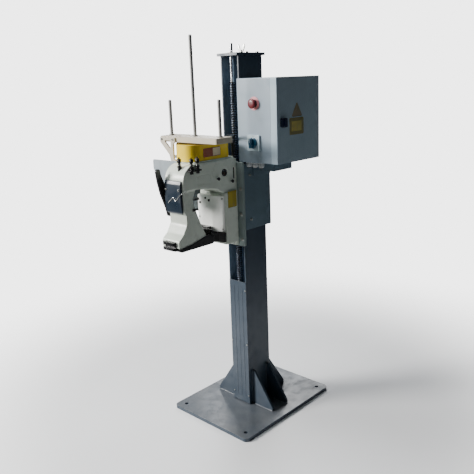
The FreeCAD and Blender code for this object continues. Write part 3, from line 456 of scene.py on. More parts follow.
def notched(count, cut, factor, radius_from=0, along_from=-math.inf):
    """A wobble: of each count steps, those in cut have their radii scaled, past the given limits."""
    def wobble(step, radius, along):
        reached = radius > radius_from and along >= along_from
        return factor if reached and step % count in cut else 1.0

    return wobble


def add_prism(bm, outline, axis, low, high):
    """Extrude an outline: (x, y) for axis 2, (y, z) for axis 0 and (x, z) for axis 1."""
    rings = []
    for level in (low, high):
        corners = [list(corner) for corner in outline]
        for corner in corners:
            corner.insert(axis, level)
        rings.append([bm.verts.new(corner) for corner in corners])
    cap_and_bridge(bm, rings)


def add_spoke(bm, centre, angle, reach, half_width, axis, low, high):
    """A flat bar that points away from a centre at an angle, between two levels of axis 1 or 2."""
    ray = Vector((math.cos(angle), math.sin(angle)))
    side = Vector((-ray.y, ray.x))
    outline = []
    for along, across in ((reach[0], -1), (reach[1], -1), (reach[1], 1), (reach[0], 1)):
        corner = Vector(centre) + ray * along + side * (across * half_width)
        outline.append(tuple(corner))
    add_prism(bm, outline, axis, low, high)


def rounded(u0, u1, v0, v1, radius, steps=5):
    """The outline of a rectangle with round corners."""
    corners = ((u1 - radius, v1 - radius, 0), (u0 + radius, v1 - radius, 90),
               (u0 + radius, v0 + radius, 180), (u1 - radius, v0 + radius, 270))
    outline = []
    for u, v, start in corners:
        for i in range(steps + 1):
            angle = math.radians(start + 90 * i / steps)
            outline.append((u + radius * math.cos(angle), v + radius * math.sin(angle)))
    return outline


def add_tube(bm, points, radius, segments=10, ripple=None):
    """A closed tube along points; ripple(i) scales its radius at point i."""
    points = [Vector(p) for p in points]
    rings = []
    up = Vector((0.13, 0.31, 0.94))
    for i, point in enumerate(points):
        ahead = (points[min(i + 1, len(points) - 1)] - points[max(i - 1, 0)]).normalized()
        side = ahead.cross(up)
        side = side.normalized() if side.length > 0.05 else ahead.orthogonal().normalized()
        up = side.cross(ahead).normalized()
        r = radius * (ripple(i) if ripple else 1)
        angles = [math.tau * k / segments for k in range(segments)]
        rings.append([bm.verts.new(point + (side * math.cos(a) + up * math.sin(a)) * r) for a in angles])
    cap_and_bridge(bm, rings)


def bent(points, radius, steps=5):
    """A polyline whose corners are rounded."""
    points = [Vector(p) for p in points]
    line = [points[0]]
    for last, here, following in zip(points, points[1:], points[2:]):
        back, on = (last - here), (following - here)
        reach = min(radius, back.length / 2.1, on.length / 2.1)
        start, end = here + back.normalized() * reach, here + on.normalized() * reach
        for i in range(steps + 1):
            t = i / steps
            line.append(start * (1 - t) ** 2 + here * (2 * t * (1 - t)) + end * t ** 2)
    line.append(points[-1])
    return line


def islands(node):
    """The loose solids of a CAD node as lists of points in millimetres."""
    bm = bmesh.new()
    bm.from_mesh(NODES[node].data)
    bmesh.ops.remove_doubles(bm, verts=bm.verts, dist=1e-6)
    left, found = set(bm.verts), []
    while left:
        seed = min(left, key=lambda vert: vert.index)
        group, edge = {seed}, [seed]
        while edge:
            vert = edge.pop()
            for link in vert.link_edges:
                other = link.other_vert(vert)
                if other not in group:
                    group.add(other)
                    edge.append(other)
        left -= group
        found.append([vert.co / MM for vert in group])
    bm.free()
    return found


# ---- castings: CAD shapes with the soft edges and fillets of sand-cast iron ------------------------
def welded_copy(node):
    """A copy of a CAD node's mesh with its doubled points joined."""
    bm = bmesh.new()
    bm.from_mesh(NODES[node].data)
    bmesh.ops.remove_doubles(bm, verts=bm.verts, dist=1e-6)
    return mesh_of(bm, node + "_copy")


def casting(name, nodes, slot, voxel=2.0, rounds=7, cuts=(), material=None):
    """Joins CAD nodes of the carriage into one skin, cuts prisms out of it and rounds every edge."""
    rough_body = add_object(name + "_raw", welded_copy(nodes[0]))
    helpers = [rough_body]

    def join(other_mesh, operation):
        helper = add_object(name + "_helper", other_mesh)
        helpers.append(helper)
        boolean = rough_body.modifiers.new("boolean", "BOOLEAN")
        boolean.operation = operation
        boolean.solver = "EXACT"
        boolean.object = helper

    for node_name in nodes[1:]:
        join(welded_copy(node_name), "UNION")
    for outline, axis, low, high in cuts:
        cutter = bmesh.new()
        add_prism(cutter, outline, axis, low, high)
        to_metres(cutter)
        join(mesh_of(cutter, name + "_cutter"), "DIFFERENCE")
    remesh = rough_body.modifiers.new("remesh", "REMESH")
    remesh.mode = "VOXEL"
    remesh.voxel_size = voxel * MM
    smooth = rough_body.modifiers.new("smooth", "SMOOTH")
    smooth.factor = 0.5
    smooth.iterations = rounds
    graph = bpy.context.evaluated_depsgraph_get()
    skin = bpy.data.meshes.new_from_object(rough_body.evaluated_get(graph))
    skin.name = name
    for helper in helpers:
        bpy.data.objects.remove(helper)
    piece = place(name, skin, "carriage", slot, material)
    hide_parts(*nodes)


def make_castings():
    """The sewing head's castings, with a slot and a shallow pocket in the housing's right side."""
    slot_cut = (rounded(-134, -124, 1095, 1147, 4.5), 0, 51, 60)
    pocket = (rounded(-340, -262, 1098, 1138, 8), 0, 53.8, 60)
    casting("head_casting", ["head_top_housing", "front_leg"], "head_enamel", cuts=[slot_cut, pocket])
    casting("rear_leg_casting", ["rear_leg"], "head_enamel", 2.2)
    # The looper cover takes the lighter enamel, a painted light.
    casting("looper_cover_casting", ["looper_cover"], "head_enamel", 1.8, 8, material=LIT_COVER_ENAMEL)
    casting("needle_cover_shell", ["needle_cover"], "cover_blue", 1.3, 5)
    casting("presser_shoe_casting", ["presser_shoe"], "black_iron", 1.5, 5)


# ---- detailed pieces --------------------------------------------------------------------------------
def extent(points):
    """The lowest and the highest corner of a cloud of points."""
    return [Vector([pick(p[i] for p in points) for i in range(3)]) for pick in (min, max)]


def fastener_fit(points):
    """What add_screw needs to know about the plain screw or bolt that has the given points."""
    low, high = extent(points)
    size, middle = high - low, (high + low) / 2
    corner_ratio = 1.1547                       # a hexagon's width over corners to that over flats
    fits = []
    for axis in range(3):
        a, b = (size[i] for i in range(3) if i != axis)
        ratio = max(a, b) / min(a, b)
        fits.append((abs(ratio - 1), axis, "round", max(a, b) / 2))
        fits.append((abs(ratio - corner_ratio), axis, "hex", max(a, b) / 2))
    _, axis, kind, radius = min(fits)

    def spread(end):
        others = [i for i in range(3) if i != axis]
        near = [p for p in points if abs(p[axis] - end) < 0.2]
        return max(math.dist([p[i] for i in others], [middle[i] for i in others]) for p in near)

    top_is_low = spread(low[axis]) > spread(high[axis])
    direction = Vector((0, 0, 0))
    direction[axis] = -1 if top_is_low else 1
    thread = radius / (0.8 if kind == "round" else 0.92)
    head = thread * 0.6
    seat = middle.copy()
    seat[axis] = low[axis] + head if top_is_low else high[axis] - head
    return seat, direction, thread, head, size[axis] - head, kind, radius


def make_fasteners():
    """Socket screws, hexagon bolts and the wing bolt in place of the CAD nodes' plain ones."""
    tallest_screw = 30
    for node, body in (("carriage_fasteners", "carriage"), ("stand_fasteners", "stand")):
        bm = bmesh.new()
        for points in islands(node):
            low, high = extent(points)
            if high.z - low.z > tallest_screw:
                add_wing_bolt(bm, (low.x + high.x) / 2, (low.y + high.y) / 2, low.z)
            else:
                add_screw(bm, *fastener_fit(points))
        piece = finish_piece(node + "_detailed", bm, body, "zinc_steel")
        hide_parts(node)


def add_screw(bm, seat, direction, thread, head, shank, kind, radius):
    """A screw whose head stands on its seat along a direction; a hexagon socket or six flats."""
    add_lathe(bm, seat, direction, [(thread / 2, -shank), (thread / 2, 0.2)], 16)
    if kind == "round":
        socket = radius * 0.55
        add_ring(bm, seat, direction, [(socket * 0.6, 0), (radius, 0), (radius, head * 0.85),
                                       (radius * 0.9, head), (socket, head), (socket, head * 0.35),
                                       (socket * 0.6, head * 0.35)], 24)
    else:
        add_lathe(bm, seat, direction, [(radius, 0), (radius, head * 0.82)], 6)
        add_lathe(bm, seat, direction, [(radius * 0.9, head * 0.82), (radius * 0.82, head)], 24)
        add_lathe(bm, seat, direction, [(radius, -0.1), (radius, 0.9)], 24)


def add_wing_bolt(bm, x, y, low):
    """A wing bolt: shank, washer, hub and two raised wings that make a V."""
    base = low + 11
    add_lathe(bm, (x, y, low), UP, [(4, 0), (4, 11)], 20)
    add_lathe(bm, (x, y, base), UP, [(9.6, 0), (10, 0.4), (10, 1.8), (9.6, 2.2)], 28)
    add_lathe(bm, (x, y, base + 2), UP, [(7, 0), (7, 7), (6, 10), (3, 11)], 24)
    blade = [(4, 5), (9, 4), (17, 17), (21, 29), (20, 34), (16.5, 36), (13, 34), (10, 27), (5, 13)]
    for side in (1, -1):
        outline = [(x + side * u, base + v) for u, v in blade]
        wing = bmesh.new()
        add_prism(wing, outline, 1, y - 2.4, y + 2.4)
        bmesh.ops.bevel(wing, geom=list(wing.edges), offset=1.1, segments=3, affect="EDGES", profile=0.6)
        merge(bm, wing)


def merge(bm, other):
    """Adds another bmesh to bm."""
    mesh = mesh_of(other, "merge")
    bm.from_mesh(mesh)
    bpy.data.meshes.remove(mesh)


def make_lift_screw():
    """The lift screw with its coarse trapezoidal thread, plain journals and stub."""
    pitch, outer, root = 10.0, 14.0, 11.2
    crest_end, root_start, root_end = 0.36, 0.50, 0.86
    segments, rings_per_turn = 28, 10

    def thread_radius(share):
        """The thread's radius at a share of one pitch."""
        if share < crest_end:
            return outer
        if share < root_start:
            return outer - (outer - root) * (share - crest_end) / (root_start - crest_end)
        if share < root_end:
            return root
        return root + (outer - root) * (share - root_end) / (1 - root_end)

    rings = [([radius] * segments, z) for radius, z in ((9, 40), (9, 70), (14.5, 70), (14.5, THREAD_LOW))]
    steps = int((THREAD_HIGH - THREAD_LOW) / pitch * rings_per_turn)
    for k in range(steps + 1):
        z = THREAD_LOW + (THREAD_HIGH - THREAD_LOW) * k / steps
        rings.append(([thread_radius((z / pitch - i / segments) % 1.0) for i in range(segments)], z))
    top = ((9, THREAD_HIGH), (9, 1604.5), (8.5, 1605), (5.5, 1605), (5.5, 1641), (4.7, 1642))
    rings += [([radius] * segments, z) for radius, z in top]

    bm = bmesh.new()
    angles = [math.tau * i / segments for i in range(segments)]
    verts = []
    for radii, z in rings:
        verts.append([bm.verts.new((r * math.cos(a), SCREW_Y + r * math.sin(a), z))
                      for r, a in zip(radii, angles)])
    cap_and_bridge(bm, verts)
    piece = finish_piece("lift_screw_threaded", bm, "lift_screw", "screw_steel", screw_material())
    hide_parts("lift_screw")


def screw_material():
    """Bright journals; the threaded part painted darker and its roots darkest, as painted shade."""
    g = Graph("thread_steel", rgb(196, 198, 200), 0.3, 1.0)
    parts = g.add("ShaderNodeSeparateXYZ", {0: g.coords})
    x = parts.outputs["X"]
    y = g.math("SUBTRACT", parts.outputs["Y"], SCREW_Y * MM)
    radius = g.math("SQRT", g.math("ADD", g.times(x, x), g.times(y, y)))
    # Painted shade: the thread's roots are darkened.
    root = g.math("SUBTRACT", 1.0, g.ramp(radius, 0.0114, 0.0137))
    thread = g.math("LESS_THAN", parts.outputs["Z"], (THREAD_HIGH - 0.5) * MM)
    thread_root_shade = g.times(g.times(root, thread), g.ramp(g.noise(60, 5), 0.2, 0.5, 0.7, 1.0))
    streaks = g.ramp(g.noise(80, 4, (1, 1, 0.3)), 0.3, 0.7)
    bright = g.mix(streaks, rgb(178, 182, 188), rgb(232, 234, 236))
    # Painted shade: the whole threaded part is darker than the journals.
    shaded_thread_tone = g.mix(streaks, rgb(52, 58, 70), rgb(104, 112, 124))
    tone = g.mix(thread, bright, shaded_thread_tone)
    g.set("Base Color", g.mix(thread_root_shade, tone, rgb(24, 26, 34)))
    g.set("Roughness", g.ramp(streaks, 0, 1, 0.2, 0.4))
    g.set("Metallic", g.math("SUBTRACT", 1.0, g.times(thread_root_shade, 0.8)))
    g.soften(0.0006, [(g.noise(300, 3), 0.00004)])
    return g.material


def make_motor_frame():
    """The closed motor's finned frame and its two end bells."""
    x, y = MOTOR_X, MOTOR_Y
    fins = notched(3, (1, 2), 0.91)
    bm = bmesh.new()
    add_lathe(bm, (x, y, 1010), UP, [(52, 0), (54.8, 3), (54.8, 147), (52, 150)], 132, fins)
    add_lathe(bm, (x, y, MOTOR_TOP), UP, [(50, 0), (54, 2), (54, 14), (48, 20), (34, 23.8), (26, 24)], 64)
    add_lathe(bm, (x, y, 990), UP, [(50, 0), (54, 3), (54, 20), (50, 22)], 64)
    piece = finish_piece("motor_frame_finned", bm, "carriage", "motor_paint")
    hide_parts("sewing_motor")


def make_fan_cowl():
    """The cowl under the motor with its round wire grille, and the fan's disc inside."""
    x, y = MOTOR_X, MOTOR_Y
    cowl = [(33, 0), (44, 0), (49, 2), (51, 7), (51, 36), (49, 36), (49, 8), (43, 3), (33, 3)]
    bm = bmesh.new()
    add_ring(bm, (x, y, 955), UP, cowl, 64)
    for radius in (8, 16, 24):
        wire = [(radius, 0), (radius + 4, 0), (radius + 4, 1.6), (radius, 1.6)]
        add_ring(bm, (x, y, 956), UP, wire, 40)
    spokes = 6
    for k in range(spokes):
        add_spoke(bm, (x, y), math.tau * k / spokes, (3, 35), 1.5, 2, 956.2, 957.4)
    add_lathe(bm, (x, y, 955.6), UP, [(8, 0), (8, 2.2)], 24)
    finish_piece("motor_fan_cowl", bm, "carriage", "motor_paint")

    bm = bmesh.new()
    add_lathe(bm, (x, y, 962), UP, [(46, 0), (46, 4)], 40)
    finish_piece("motor_fan_disc", bm, "carriage", "belt_rubber")


def make_terminal_box():
    """The terminal box on the motor's left, the motor's screws and its blank plate."""
    x, y = MOTOR_X, MOTOR_Y
    bm = bmesh.new()
    add_prism(bm, rounded(y - 27, y + 27, 1061, 1129, 5), 0, x - 72, x - 50)
    add_prism(bm, rounded(y - 28, y + 28, 1060, 1130, 6), 0, x - 81.5, x - 73)
    add_prism(bm, rounded(y - 25, y + 25, 1063, 1127, 4), 0, x - 73, x - 72)
    finish_piece("motor_terminal_box", bm, "carriage", "motor_paint", bevel=1.2)

    bm = bmesh.new()
    for dy in (-22, 22):
        for z in (1066, 1124):
            add_screw(bm, (x - 79.5, y + dy, z), (-1, 0, 0), 3.6, 2.0, 2, "round", 2.9)
    for k in range(4):
        angle = math.tau * (k + 0.5) / 4
        seat = (x + 40 * math.cos(angle), y + 40 * math.sin(angle), MOTOR_TOP + 19)
        add_screw(bm, seat, UP, 4, 2.5, 2, "round", 3.2)
    finish_piece("motor_screws", bm, "carriage", "zinc_steel")

    bm = bmesh.new()
    add_box(bm, (x - 20, y - 56, 1072), (x + 20, y - 54.9, 1112))
    finish_piece("motor_blank_plate", bm, "carriage", "zinc_steel", bevel=0.4)


def make_glands():
    """Grey cable glands: locknut, body and ribbed dome nut with a rubber bush."""
    nut = [(13.8, 0), (14, 0.5), (14, 7.5), (13.8, 8)]
    dome = [(8.5, 0), (10.5, 2), (11.8, 6), (12, 13), (11, 13.5)]
    bm, bushes = bmesh.new(), bmesh.new()
    for x, y in GLANDS:
        add_lathe(bm, (x, y, BOX_LOW - 8), UP, nut, 6)
        add_ring(bm, (x, y, BOX_LOW - 12), UP, [(5, 0), (9.5, 0), (9.5, 22), (5, 22)], 32)
        add_lathe(bm, (x, y, BOX_LOW - 24), UP, dome, 48, notched(2, (1,), 0.95))
        add_ring(bushes, (x, y, BOX_LOW - 26), UP, [(3.5, 0), (7.5, 0), (8, 1), (8, 3), (3.5, 3)], 28)
        add_lathe(bushes, (x, y, BOX_LOW - 25), UP, [(3.6, 0), (3.6, 1.5)], 20)
    piece = finish_piece("cable_glands_ribbed", bm, "carriage", "gland_plastic")
    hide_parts("cable_glands")
    finish_piece("cable_gland_bushes", bushes, "carriage", "belt_rubber")


def make_button():
    """Mushroom button with its ring, painted pale pink as a painted glow round the button, and its collar.
    """
    origin = (BUTTON_X, BOX_FRONT, BUTTON_Z)
    mushroom = [(10, -6), (10, 12), (17.6, 12), (19.6, 13.5), (20, 16), (19.4, 18), (17, 20.2), (12, 21.6),
                (5, 22)]
    bm = bmesh.new()
    add_lathe(bm, origin, FRONT, mushroom, 64, notched(4, (2, 3), 0.965, along_from=11.5))
    piece = finish_piece("stop_button_head", bm, "stop_button", "red_plastic")
    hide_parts("stop_button")

    bm = bmesh.new()
    # The ring is painted pale pink: a painted glow round the red button.
    add_ring(bm, origin, FRONT, [(15, 0), (26.6, 0), (27, 0.6), (26.6, 1.6), (15.4, 1.8)], 64)
    glow_pink = plastic("painted_glow_pink", rgb(232, 150, 158), 0.4)
    finish_piece("button_glow_ring", bm, "carriage", "red_plastic", glow_pink)
    bm = bmesh.new()
    add_ring(bm, origin, FRONT, [(10.6, 0), (15, 0), (15, 5), (14, 6), (10.6, 6)], 48)
    finish_piece("button_collar", bm, "carriage", "black_iron")


def make_switch():
    """Rotary switch: dial with a moulded grip and a pointer, and three plain marks beside it."""
    x, face, z = SWITCH_X, SWITCH_FACE, SWITCH_Z
    bm = bmesh.new()
    for degrees in (30, 90, 150):
        add_spoke(bm, (x, z), math.radians(degrees), (24.5, 29.5), 0.9, 1, face - 0.4, face + 0.2)
    finish_piece("switch_marks", bm, "carriage", "black_iron")

    dial = [(6, -16), (6, 0.3), (21.4, 0.3), (22, 1), (22, 6.5), (20.5, 8)]
    bm = bmesh.new()
    add_lathe(bm, (x, face, z), FRONT, dial, 72, notched(4, (2, 3), 0.97, along_from=1.5))
    grip = bmesh.new()
    add_prism(grip, rounded(x - 7, x + 7, z - 21, z + 21, 6.8, 6), 1, face - 22, face - 7.6)
    for vert in grip.verts:
        if vert.co.y < face - 15:
            vert.co.x = x + (vert.co.x - x) * 0.72
            vert.co.z = z + (vert.co.z - z) * 0.95
    rims = [edge for edge in grip.edges if edge.calc_face_angle(0) > 1.2]
    bmesh.ops.bevel(grip, geom=rims, offset=1.2, segments=3, affect="EDGES")
    merge(bm, grip)
    piece = finish_piece("switch_knob_moulded", bm, "switch_knob", "teal_plastic")
    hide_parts("switch_knob")
    bm = bmesh.new()
    add_box(bm, (x - 0.9, face - 22.4, z + 3), (x + 0.9, face - 21.6, z + 19))
    finish_piece("switch_pointer", bm, "switch_knob", "pale_plastic", bevel=0.2)


def make_tensions():
    """Thread tensions: a fluted nut on each stud and a coil spring round it."""
    nut = [(3.2, 1192), (6.4, 1192), (7.9, 1193.2), (8, 1206.5), (6.8, 1208), (3.2, 1208)]
    flutes = notched(3, (0,), 0.92, radius_from=6.5)
    spring_low, spring_rise, spring_radius, turns, steps = 1181.5, 9, 6.3, 5, 60
    springs = bmesh.new()
    for number, (x, y) in enumerate(TENSIONS, start=1):
        bm = bmesh.new()
        add_ring(bm, (x, y, 0), UP, nut, 48, flutes)
        piece = finish_piece(f"tension_nut_{number}", bm, f"tension_knob_{number}", "black_iron")
        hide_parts(f"tension_knob_{number}")
        coil = []
        for i in range(steps + 1):
            angle = math.tau * turns * i / steps
            coil.append((x + spring_radius * math.cos(angle), y + spring_radius * math.sin(angle),
                         spring_low + spring_rise * i / steps))
        add_tube(springs, coil, 0.7, 8)
    finish_piece("tension_springs", springs, "carriage", "zinc_steel")


def blank_panel(name, outline, low, high, axis, body, colors, frame_share=0.06):
    """A thin printed panel between two levels of an axis."""
    bm = bmesh.new()
    add_prism(bm, outline, axis, low[axis], high[axis])
    finish_piece(name, bm, body, "pale_plastic", placard(name, colors, (low, high), axis, frame_share))


def make_labels():
    """Blank printed panels and plates: no lettering and no symbols."""
    specs = [
        ("guard_label", (46.0, -292, 1203), (46.5, -196, 1238), 0, 2.0,
         (rgb(120, 48, 36), rgb(150, 84, 62), rgb(222, 206, 170), 0.55)),
        ("leg_label", (60.0, -178, 980), (60.5, -126, 1049), 0, 3.0,
         (rgb(150, 136, 40), rgb(176, 160, 52), rgb(164, 148, 48), 0.5)),
        ("motor_side_label", (-180, -240.6, 1078), (-140, -240.1, 1106), 1, 2.0,
         (rgb(60, 66, 70), rgb(188, 190, 188), rgb(176, 178, 176), 0.5)),
    ]
    for name, low, high, axis, radius, colors in specs:
        u, v = (i for i in range(3) if i != axis)
        outline = rounded(low[u], high[u], low[v], high[v], radius, 4)
        blank_panel(name, outline, low, high, axis, "carriage", colors)

    proud = DOOR_FACE + 0.5
    low, high = (DOOR_FACE, -22, 1274), (proud, 70, 1341)
    outline = rounded(low[1], high[1], low[2], high[2], 5)
    blank_panel("door_label_blank", outline, low, high, 0, "door",
                (rgb(132, 126, 84), rgb(190, 178, 98), rgb(182, 172, 96), 0.5), 0.2)
    low, high = (DOOR_FACE, -8, 1345), (proud, 62, 1403)
    triangle = [(low[1], low[2]), (high[1], low[2]), ((low[1] + high[1]) / 2, high[2])]
    tip_share = 0.08
    outline = []
    for i, here in enumerate(triangle):
        for other in (triangle[i - 1], triangle[(i + 1) % 3]):
            outline.append(tuple(a + (b - a) * tip_share for a, b in zip(here, other)))
    blank_panel("door_sign_blank", outline, low, high, 0, "door",
                (rgb(116, 110, 96), rgb(140, 130, 106), rgb(134, 126, 104), 0.5))


def make_weld(name, runs, body, slot, radius, step=2.6):
    """Weld beads: ripply fillets along straight runs."""
    bm = bmesh.new()
    for start, end in runs:
        start, end = Vector(start), Vector(end)
        count = max(3, int((end - start).length / step))
        points = [start.lerp(end, i / count) for i in range(count + 1)]
        add_tube(bm, points, radius, 8, lambda i: 1 + 0.12 * math.sin(i * 2.1) + 0.05 * math.sin(i * 0.7))
    finish_piece(name, bm, body, slot)


def make_welds():
    """Beads round the column's foot, its gussets and the carriage plates."""
    foot, gusset_low, gusset_high, gusset_reach = 16.5, 18, 184, 118
    runs = [((-COLUMN_X, COLUMN_Y, foot), (COLUMN_X, COLUMN_Y, foot))]
    for side in (-1, 1):
        x = side * COLUMN_X
        runs.append(((x, -COLUMN_Y, foot), (x, COLUMN_Y, foot)))
        for y in (-55, -45, 45, 55):
            runs.append(((x, y, gusset_low), (x, y, gusset_high)))
            runs.append(((x, y, foot), (x + side * gusset_reach, y, foot)))
    for x in (-35, -25, 25, 35):
        runs.append(((x, COLUMN_Y, gusset_low), (x, COLUMN_Y, gusset_high)))
        runs.append(((x, COLUMN_Y, foot), (x, COLUMN_Y + gusset_reach, foot)))
    make_weld("stand_welds", runs, "stand", "column_paint", 2.6)
    runs = []
    for side in (1, -1):
        runs.append(((side * 52.5, 82.4, 864), (side * 52.5, 82.4, 1148)))
        runs.append(((side * 60, -95, 866), (side * 60, -95, 1146)))
    make_weld("carriage_welds", runs, "carriage", "carriage_paint", 2.2)


def make_wire_guide():
    """The formed wire across the needle cover."""
    bm = bmesh.new()
    wire = [(-26, -427.4, 1036), (-20, -428.6, 1042), (6, -428.6, 1062), (20, -428.6, 1047),
            (42, -428.6, 1070), (50, -423, 1077), (53, -412, 1079), (51.4, -398, 1079)]
    add_tube(bm, bent(wire, 5), 1.1, 8)
    finish_piece("wire_guide_front", bm, "carriage", "pale_plastic",
                 metal("bright_wire", rgb(232, 232, 228), 0.25, spotted=0.05))


def make_head_details():
    """Looper cover screws, the oil window's rim and lens, the blank pad, and a dark sheet in the slot as
    painted shade.
    """
    bm = bmesh.new()
    for x, z in ((-26, 1022), (-6, 1014), (-60, 1000)):
        add_screw(bm, (x, -223.5, z), FRONT, 6, 3.4, 3, "round", 4.8)
    finish_piece("looper_cover_screws", bm, "carriage", "black_iron")
    bm = bmesh.new()
    add_ring(bm, WINDOW, RIGHT, [(11.2, 0), (14.9, 0), (14.9, 7.4), (14.2, 7.9), (11.2, 7.0)], 48)
    finish_piece("oil_window_rim", bm, "carriage", "black_iron")
    bm = bmesh.new()
    add_lathe(bm, WINDOW, RIGHT, [(11.3, 0), (11.3, 5.6), (9, 6.4), (5, 7.0), (1, 7.2)], 40)
    piece = finish_piece("oil_window_lens", bm, "carriage", "window_glass")
    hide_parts("oil_window")
    bm = bmesh.new()
    add_prism(bm, rounded(-338, -264, 1100, 1136, 7), 0, 53.4, 54.6)
    finish_piece("head_blank_pad", bm, "carriage", "head_enamel", bevel=0.5)
    # A black sheet at the slot's floor: painted shade in the slot.
    bm = bmesh.new()
    add_prism(bm, rounded(-133, -125, 1096, 1146, 3.9), 0, 51.2, 52.2)
    finish_piece("head_slot_painted_shade", bm, "carriage", "black_iron")


def make_mounting_plate():
    """The plate behind the open door, on its standoffs, and the two rails on it."""
    plate = bmesh.new()
    add_prism(plate, rounded(-84, 162, 1184, 1481, 4), 0, 70, 72)
    for y in (-70, 150):
        for z in (1200, 1465):
            add_lathe(plate, (62, y, z), RIGHT, [(5, 0), (5, 8)], 20)
            add_screw(plate, (72, y, z), RIGHT, 5, 3, 2, "round", 4.5)
    piece = finish_piece("mounting_plate", plate, "carriage", "zinc_steel", bevel=0.3)
    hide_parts("switchgear")
    rails = bmesh.new()
    for z in (1400, 1290):
        for lip in (z - 1, z + 26):
            add_box(rails, (76.4, -70, lip), (77.8, 150, lip + 5))
        add_box(rails, (72, -70, z + 4), (73.4, 150, z + 26))
        for edge in (z + 4, z + 24.8):
            add_box(rails, (72, -70, edge), (77.8, 150, edge + 1.2))
    finish_piece("din_rails", rails, "carriage", "zinc_steel")


def make_switchgear():
    """Two contactors and an overload relay on the upper rail, and a row of terminals on the lower one."""
    cases, faces, screws = bmesh.new(), bmesh.new(), bmesh.new()
    for y in (-60, -10):
        add_prism(cases, rounded(y, y + 44, 1385, 1455, 2), 0, 78, 120)
        add_prism(faces, rounded(y + 4, y + 40, 1400, 1440, 2), 0, 120, 133)
        for k in range(3):
            for z in (1391, 1449):
                add_screw(screws, (120, y + 9 + 13 * k, z), RIGHT, 4, 1.8, 1, "round", 3.6)
    add_prism(cases, rounded(50, 140, 1390, 1450, 2), 0, 78, 116)
    add_prism(faces, rounded(58, 100, 1404, 1436, 2), 0, 116, 121)
    terminals, pitch = 10, 16
    for i in range(terminals):
        y = -60 + pitch * i
        add_prism(cases, rounded(y, y + 14, 1282, 1328, 1.5), 0, 78, 112)
        for z in (1290, 1320):
            add_screw(screws, (112, y + 7, z), RIGHT, 4, 1.2, 1, "round", 3.4)
    finish_piece("switchgear_cases", cases, "carriage", "switchgear_plastic", bevel=0.8)
    finish_piece("switchgear_faces", faces, "carriage", "navy_plastic", bevel=0.8)
    finish_piece("switchgear_screws", screws, "carriage", "zinc_steel")


def make_transformer():
    """A transformer's stack of core plates round its coil."""
    core = bmesh.new()
    plates, pitch = 12, 4.4
    for i in range(plates):
        add_box(core, (74 + i * pitch, 62, 1192), (77.8 + i * pitch, 138, 1260))
    finish_piece("transformer_core", core, "carriage", "motor_paint")
    coil = bmesh.new()
    add_prism(coil, rounded(78, 122, 1198, 1254, 6), 0, 72, 131)
    finish_piece("transformer_coil", coil, "carriage", "bronze", bevel=2)


def make_gasket():
    """The door's foam seal."""
    bm = bmesh.new()
    outer, inner = rounded(-96, 174, 1168, 1497, 3), rounded(-88, 166, 1176, 1489, 3)
    rings = []
    for x in (264.9, 262.0):
        for outline in (outer, inner):
            rings.append([bm.verts.new((x, y, z)) for y, z in outline])
    for a, b in ((0, 1), (1, 3), (3, 2), (2, 0)):
        bridge(bm, rings[a], rings[b])
    finish_piece("door_seal", bm, "door", "belt_rubber")


def make_cover_ribs():
    """Shallow pressed ribs down the lower column cover."""
    bm = bmesh.new()
    for x in (-24, 0, 24):
        add_prism(bm, rounded(x - 4, x + 4, 46, 596, 3.9), 1, -77.8, -76.9)
    finish_piece("lower_cover_ribs", bm, "stand", "column_paint", bevel=0.5)


make_castings()
make_fasteners()
make_lift_screw()
make_motor_frame()
make_fan_cowl()
make_terminal_box()
make_glands()
make_button()
make_switch()
make_tensions()
make_labels()
make_welds()
make_wire_guide()
make_head_details()
make_mounting_plate()
make_switchgear()
make_transformer()
make_gasket()
make_cover_ribs()


# ---- studio -----------------------------------------------------------------------------------------
def make_stage():
    """A pale floor that fades out round the station."""
    bm = bmesh.new()
    bmesh.ops.create_circle(bm, cap_ends=True, radius=14, segments=96)
    mesh = mesh_of(bm, "studio_floor")
    floor = add_object("studio_floor", mesh)
    floor.location.z = -0.0005
    g = Graph("floor_pale", rgb(236, 237, 238), 0.55)
    g.set("Base Color", g.mix(g.ramp(g.noise(0.8, 3), 0.3, 0.7), rgb(232, 233, 234), rgb(240, 241, 242)))
    reach = g.add("ShaderNodeVectorMath", {0: g.coords}, operation="LENGTH").outputs["Value"]
    solid_within, gone_beyond = 0.8, 2.2
    g.set("Alpha", g.ramp(reach, solid_within, gone_beyond, 1.0, 0.0))
    mesh.materials.append(g.material)


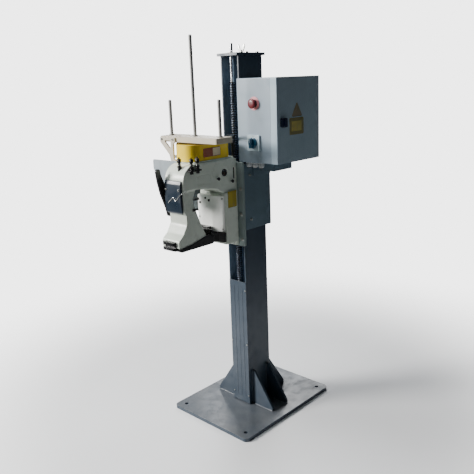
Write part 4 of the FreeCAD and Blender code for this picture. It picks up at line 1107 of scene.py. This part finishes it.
def add_light(name, place_at, aim, size, energy, color):
    """A round soft light, aimed at a point."""
    data = bpy.data.lights.new(name, "AREA")
    data.shape = "DISK"
    data.size = size
    data.energy = energy
    data.color = color
    light = add_object(name, data)
    light.location = place_at
    light.rotation_mode = "QUATERNION"
    light.rotation_quaternion = (Vector(aim) - Vector(place_at)).to_track_quat("-Z", "Y")


def make_studio():
    """A dim cool room with a white backdrop that only the camera sees, and three soft lights."""
    world = bpy.data.worlds.new("studio")
    bpy.context.scene.world = world
    world.use_nodes = True
    tree = world.node_tree
    room = tree.nodes["Background"]
    room.inputs["Color"].default_value = (0.86, 0.93, 1.0, 1)
    room.inputs["Strength"].default_value = 0.075
    backdrop = tree.nodes.new("ShaderNodeBackground")
    backdrop.inputs["Color"].default_value = (1, 1, 1, 1)
    backdrop.inputs["Strength"].default_value = 4.0
    seen = tree.nodes.new("ShaderNodeLightPath")
    choose = tree.nodes.new("ShaderNodeMixShader")
    tree.links.new(seen.outputs["Is Camera Ray"], choose.inputs[0])
    tree.links.new(room.outputs[0], choose.inputs[1])
    tree.links.new(backdrop.outputs[0], choose.inputs[2])
    tree.links.new(choose.outputs[0], tree.nodes["World Output"].inputs["Surface"])
    aim = (0.0, -0.1, 1.0)
    add_light("key_front_left", (-2.9, -3.6, 2.6), aim, 1.6, 450, (1, 0.985, 0.96))
    add_light("top_soft", (-0.9, -0.7, 4.2), aim, 1.8, 130, (0.97, 0.985, 1))
    add_light("rim_rear", (-2.4, 3.0, 2.6), aim, 1.8, 90, (0.96, 0.98, 1))


def make_camera():
    """The eye stands 2.6 m off, level with the box, ahead and to the right of the station."""
    data = bpy.data.cameras.new("camera")
    camera = add_object("camera", data)
    eye, aim = Vector((1.779, -1.934, 1.5)), Vector((0.02, -0.09, 0.83))
    lean = math.radians(-2.2)
    camera.location = eye
    camera.rotation_mode = "QUATERNION"
    look = (aim - eye).to_track_quat("-Z", "Y")
    camera.rotation_quaternion = look @ Matrix.Rotation(lean, 3, "Z").to_quaternion()
    data.sensor_width = 36
    data.angle = math.radians(43)
    bpy.context.scene.camera = camera


make_stage()
make_studio()
make_camera()
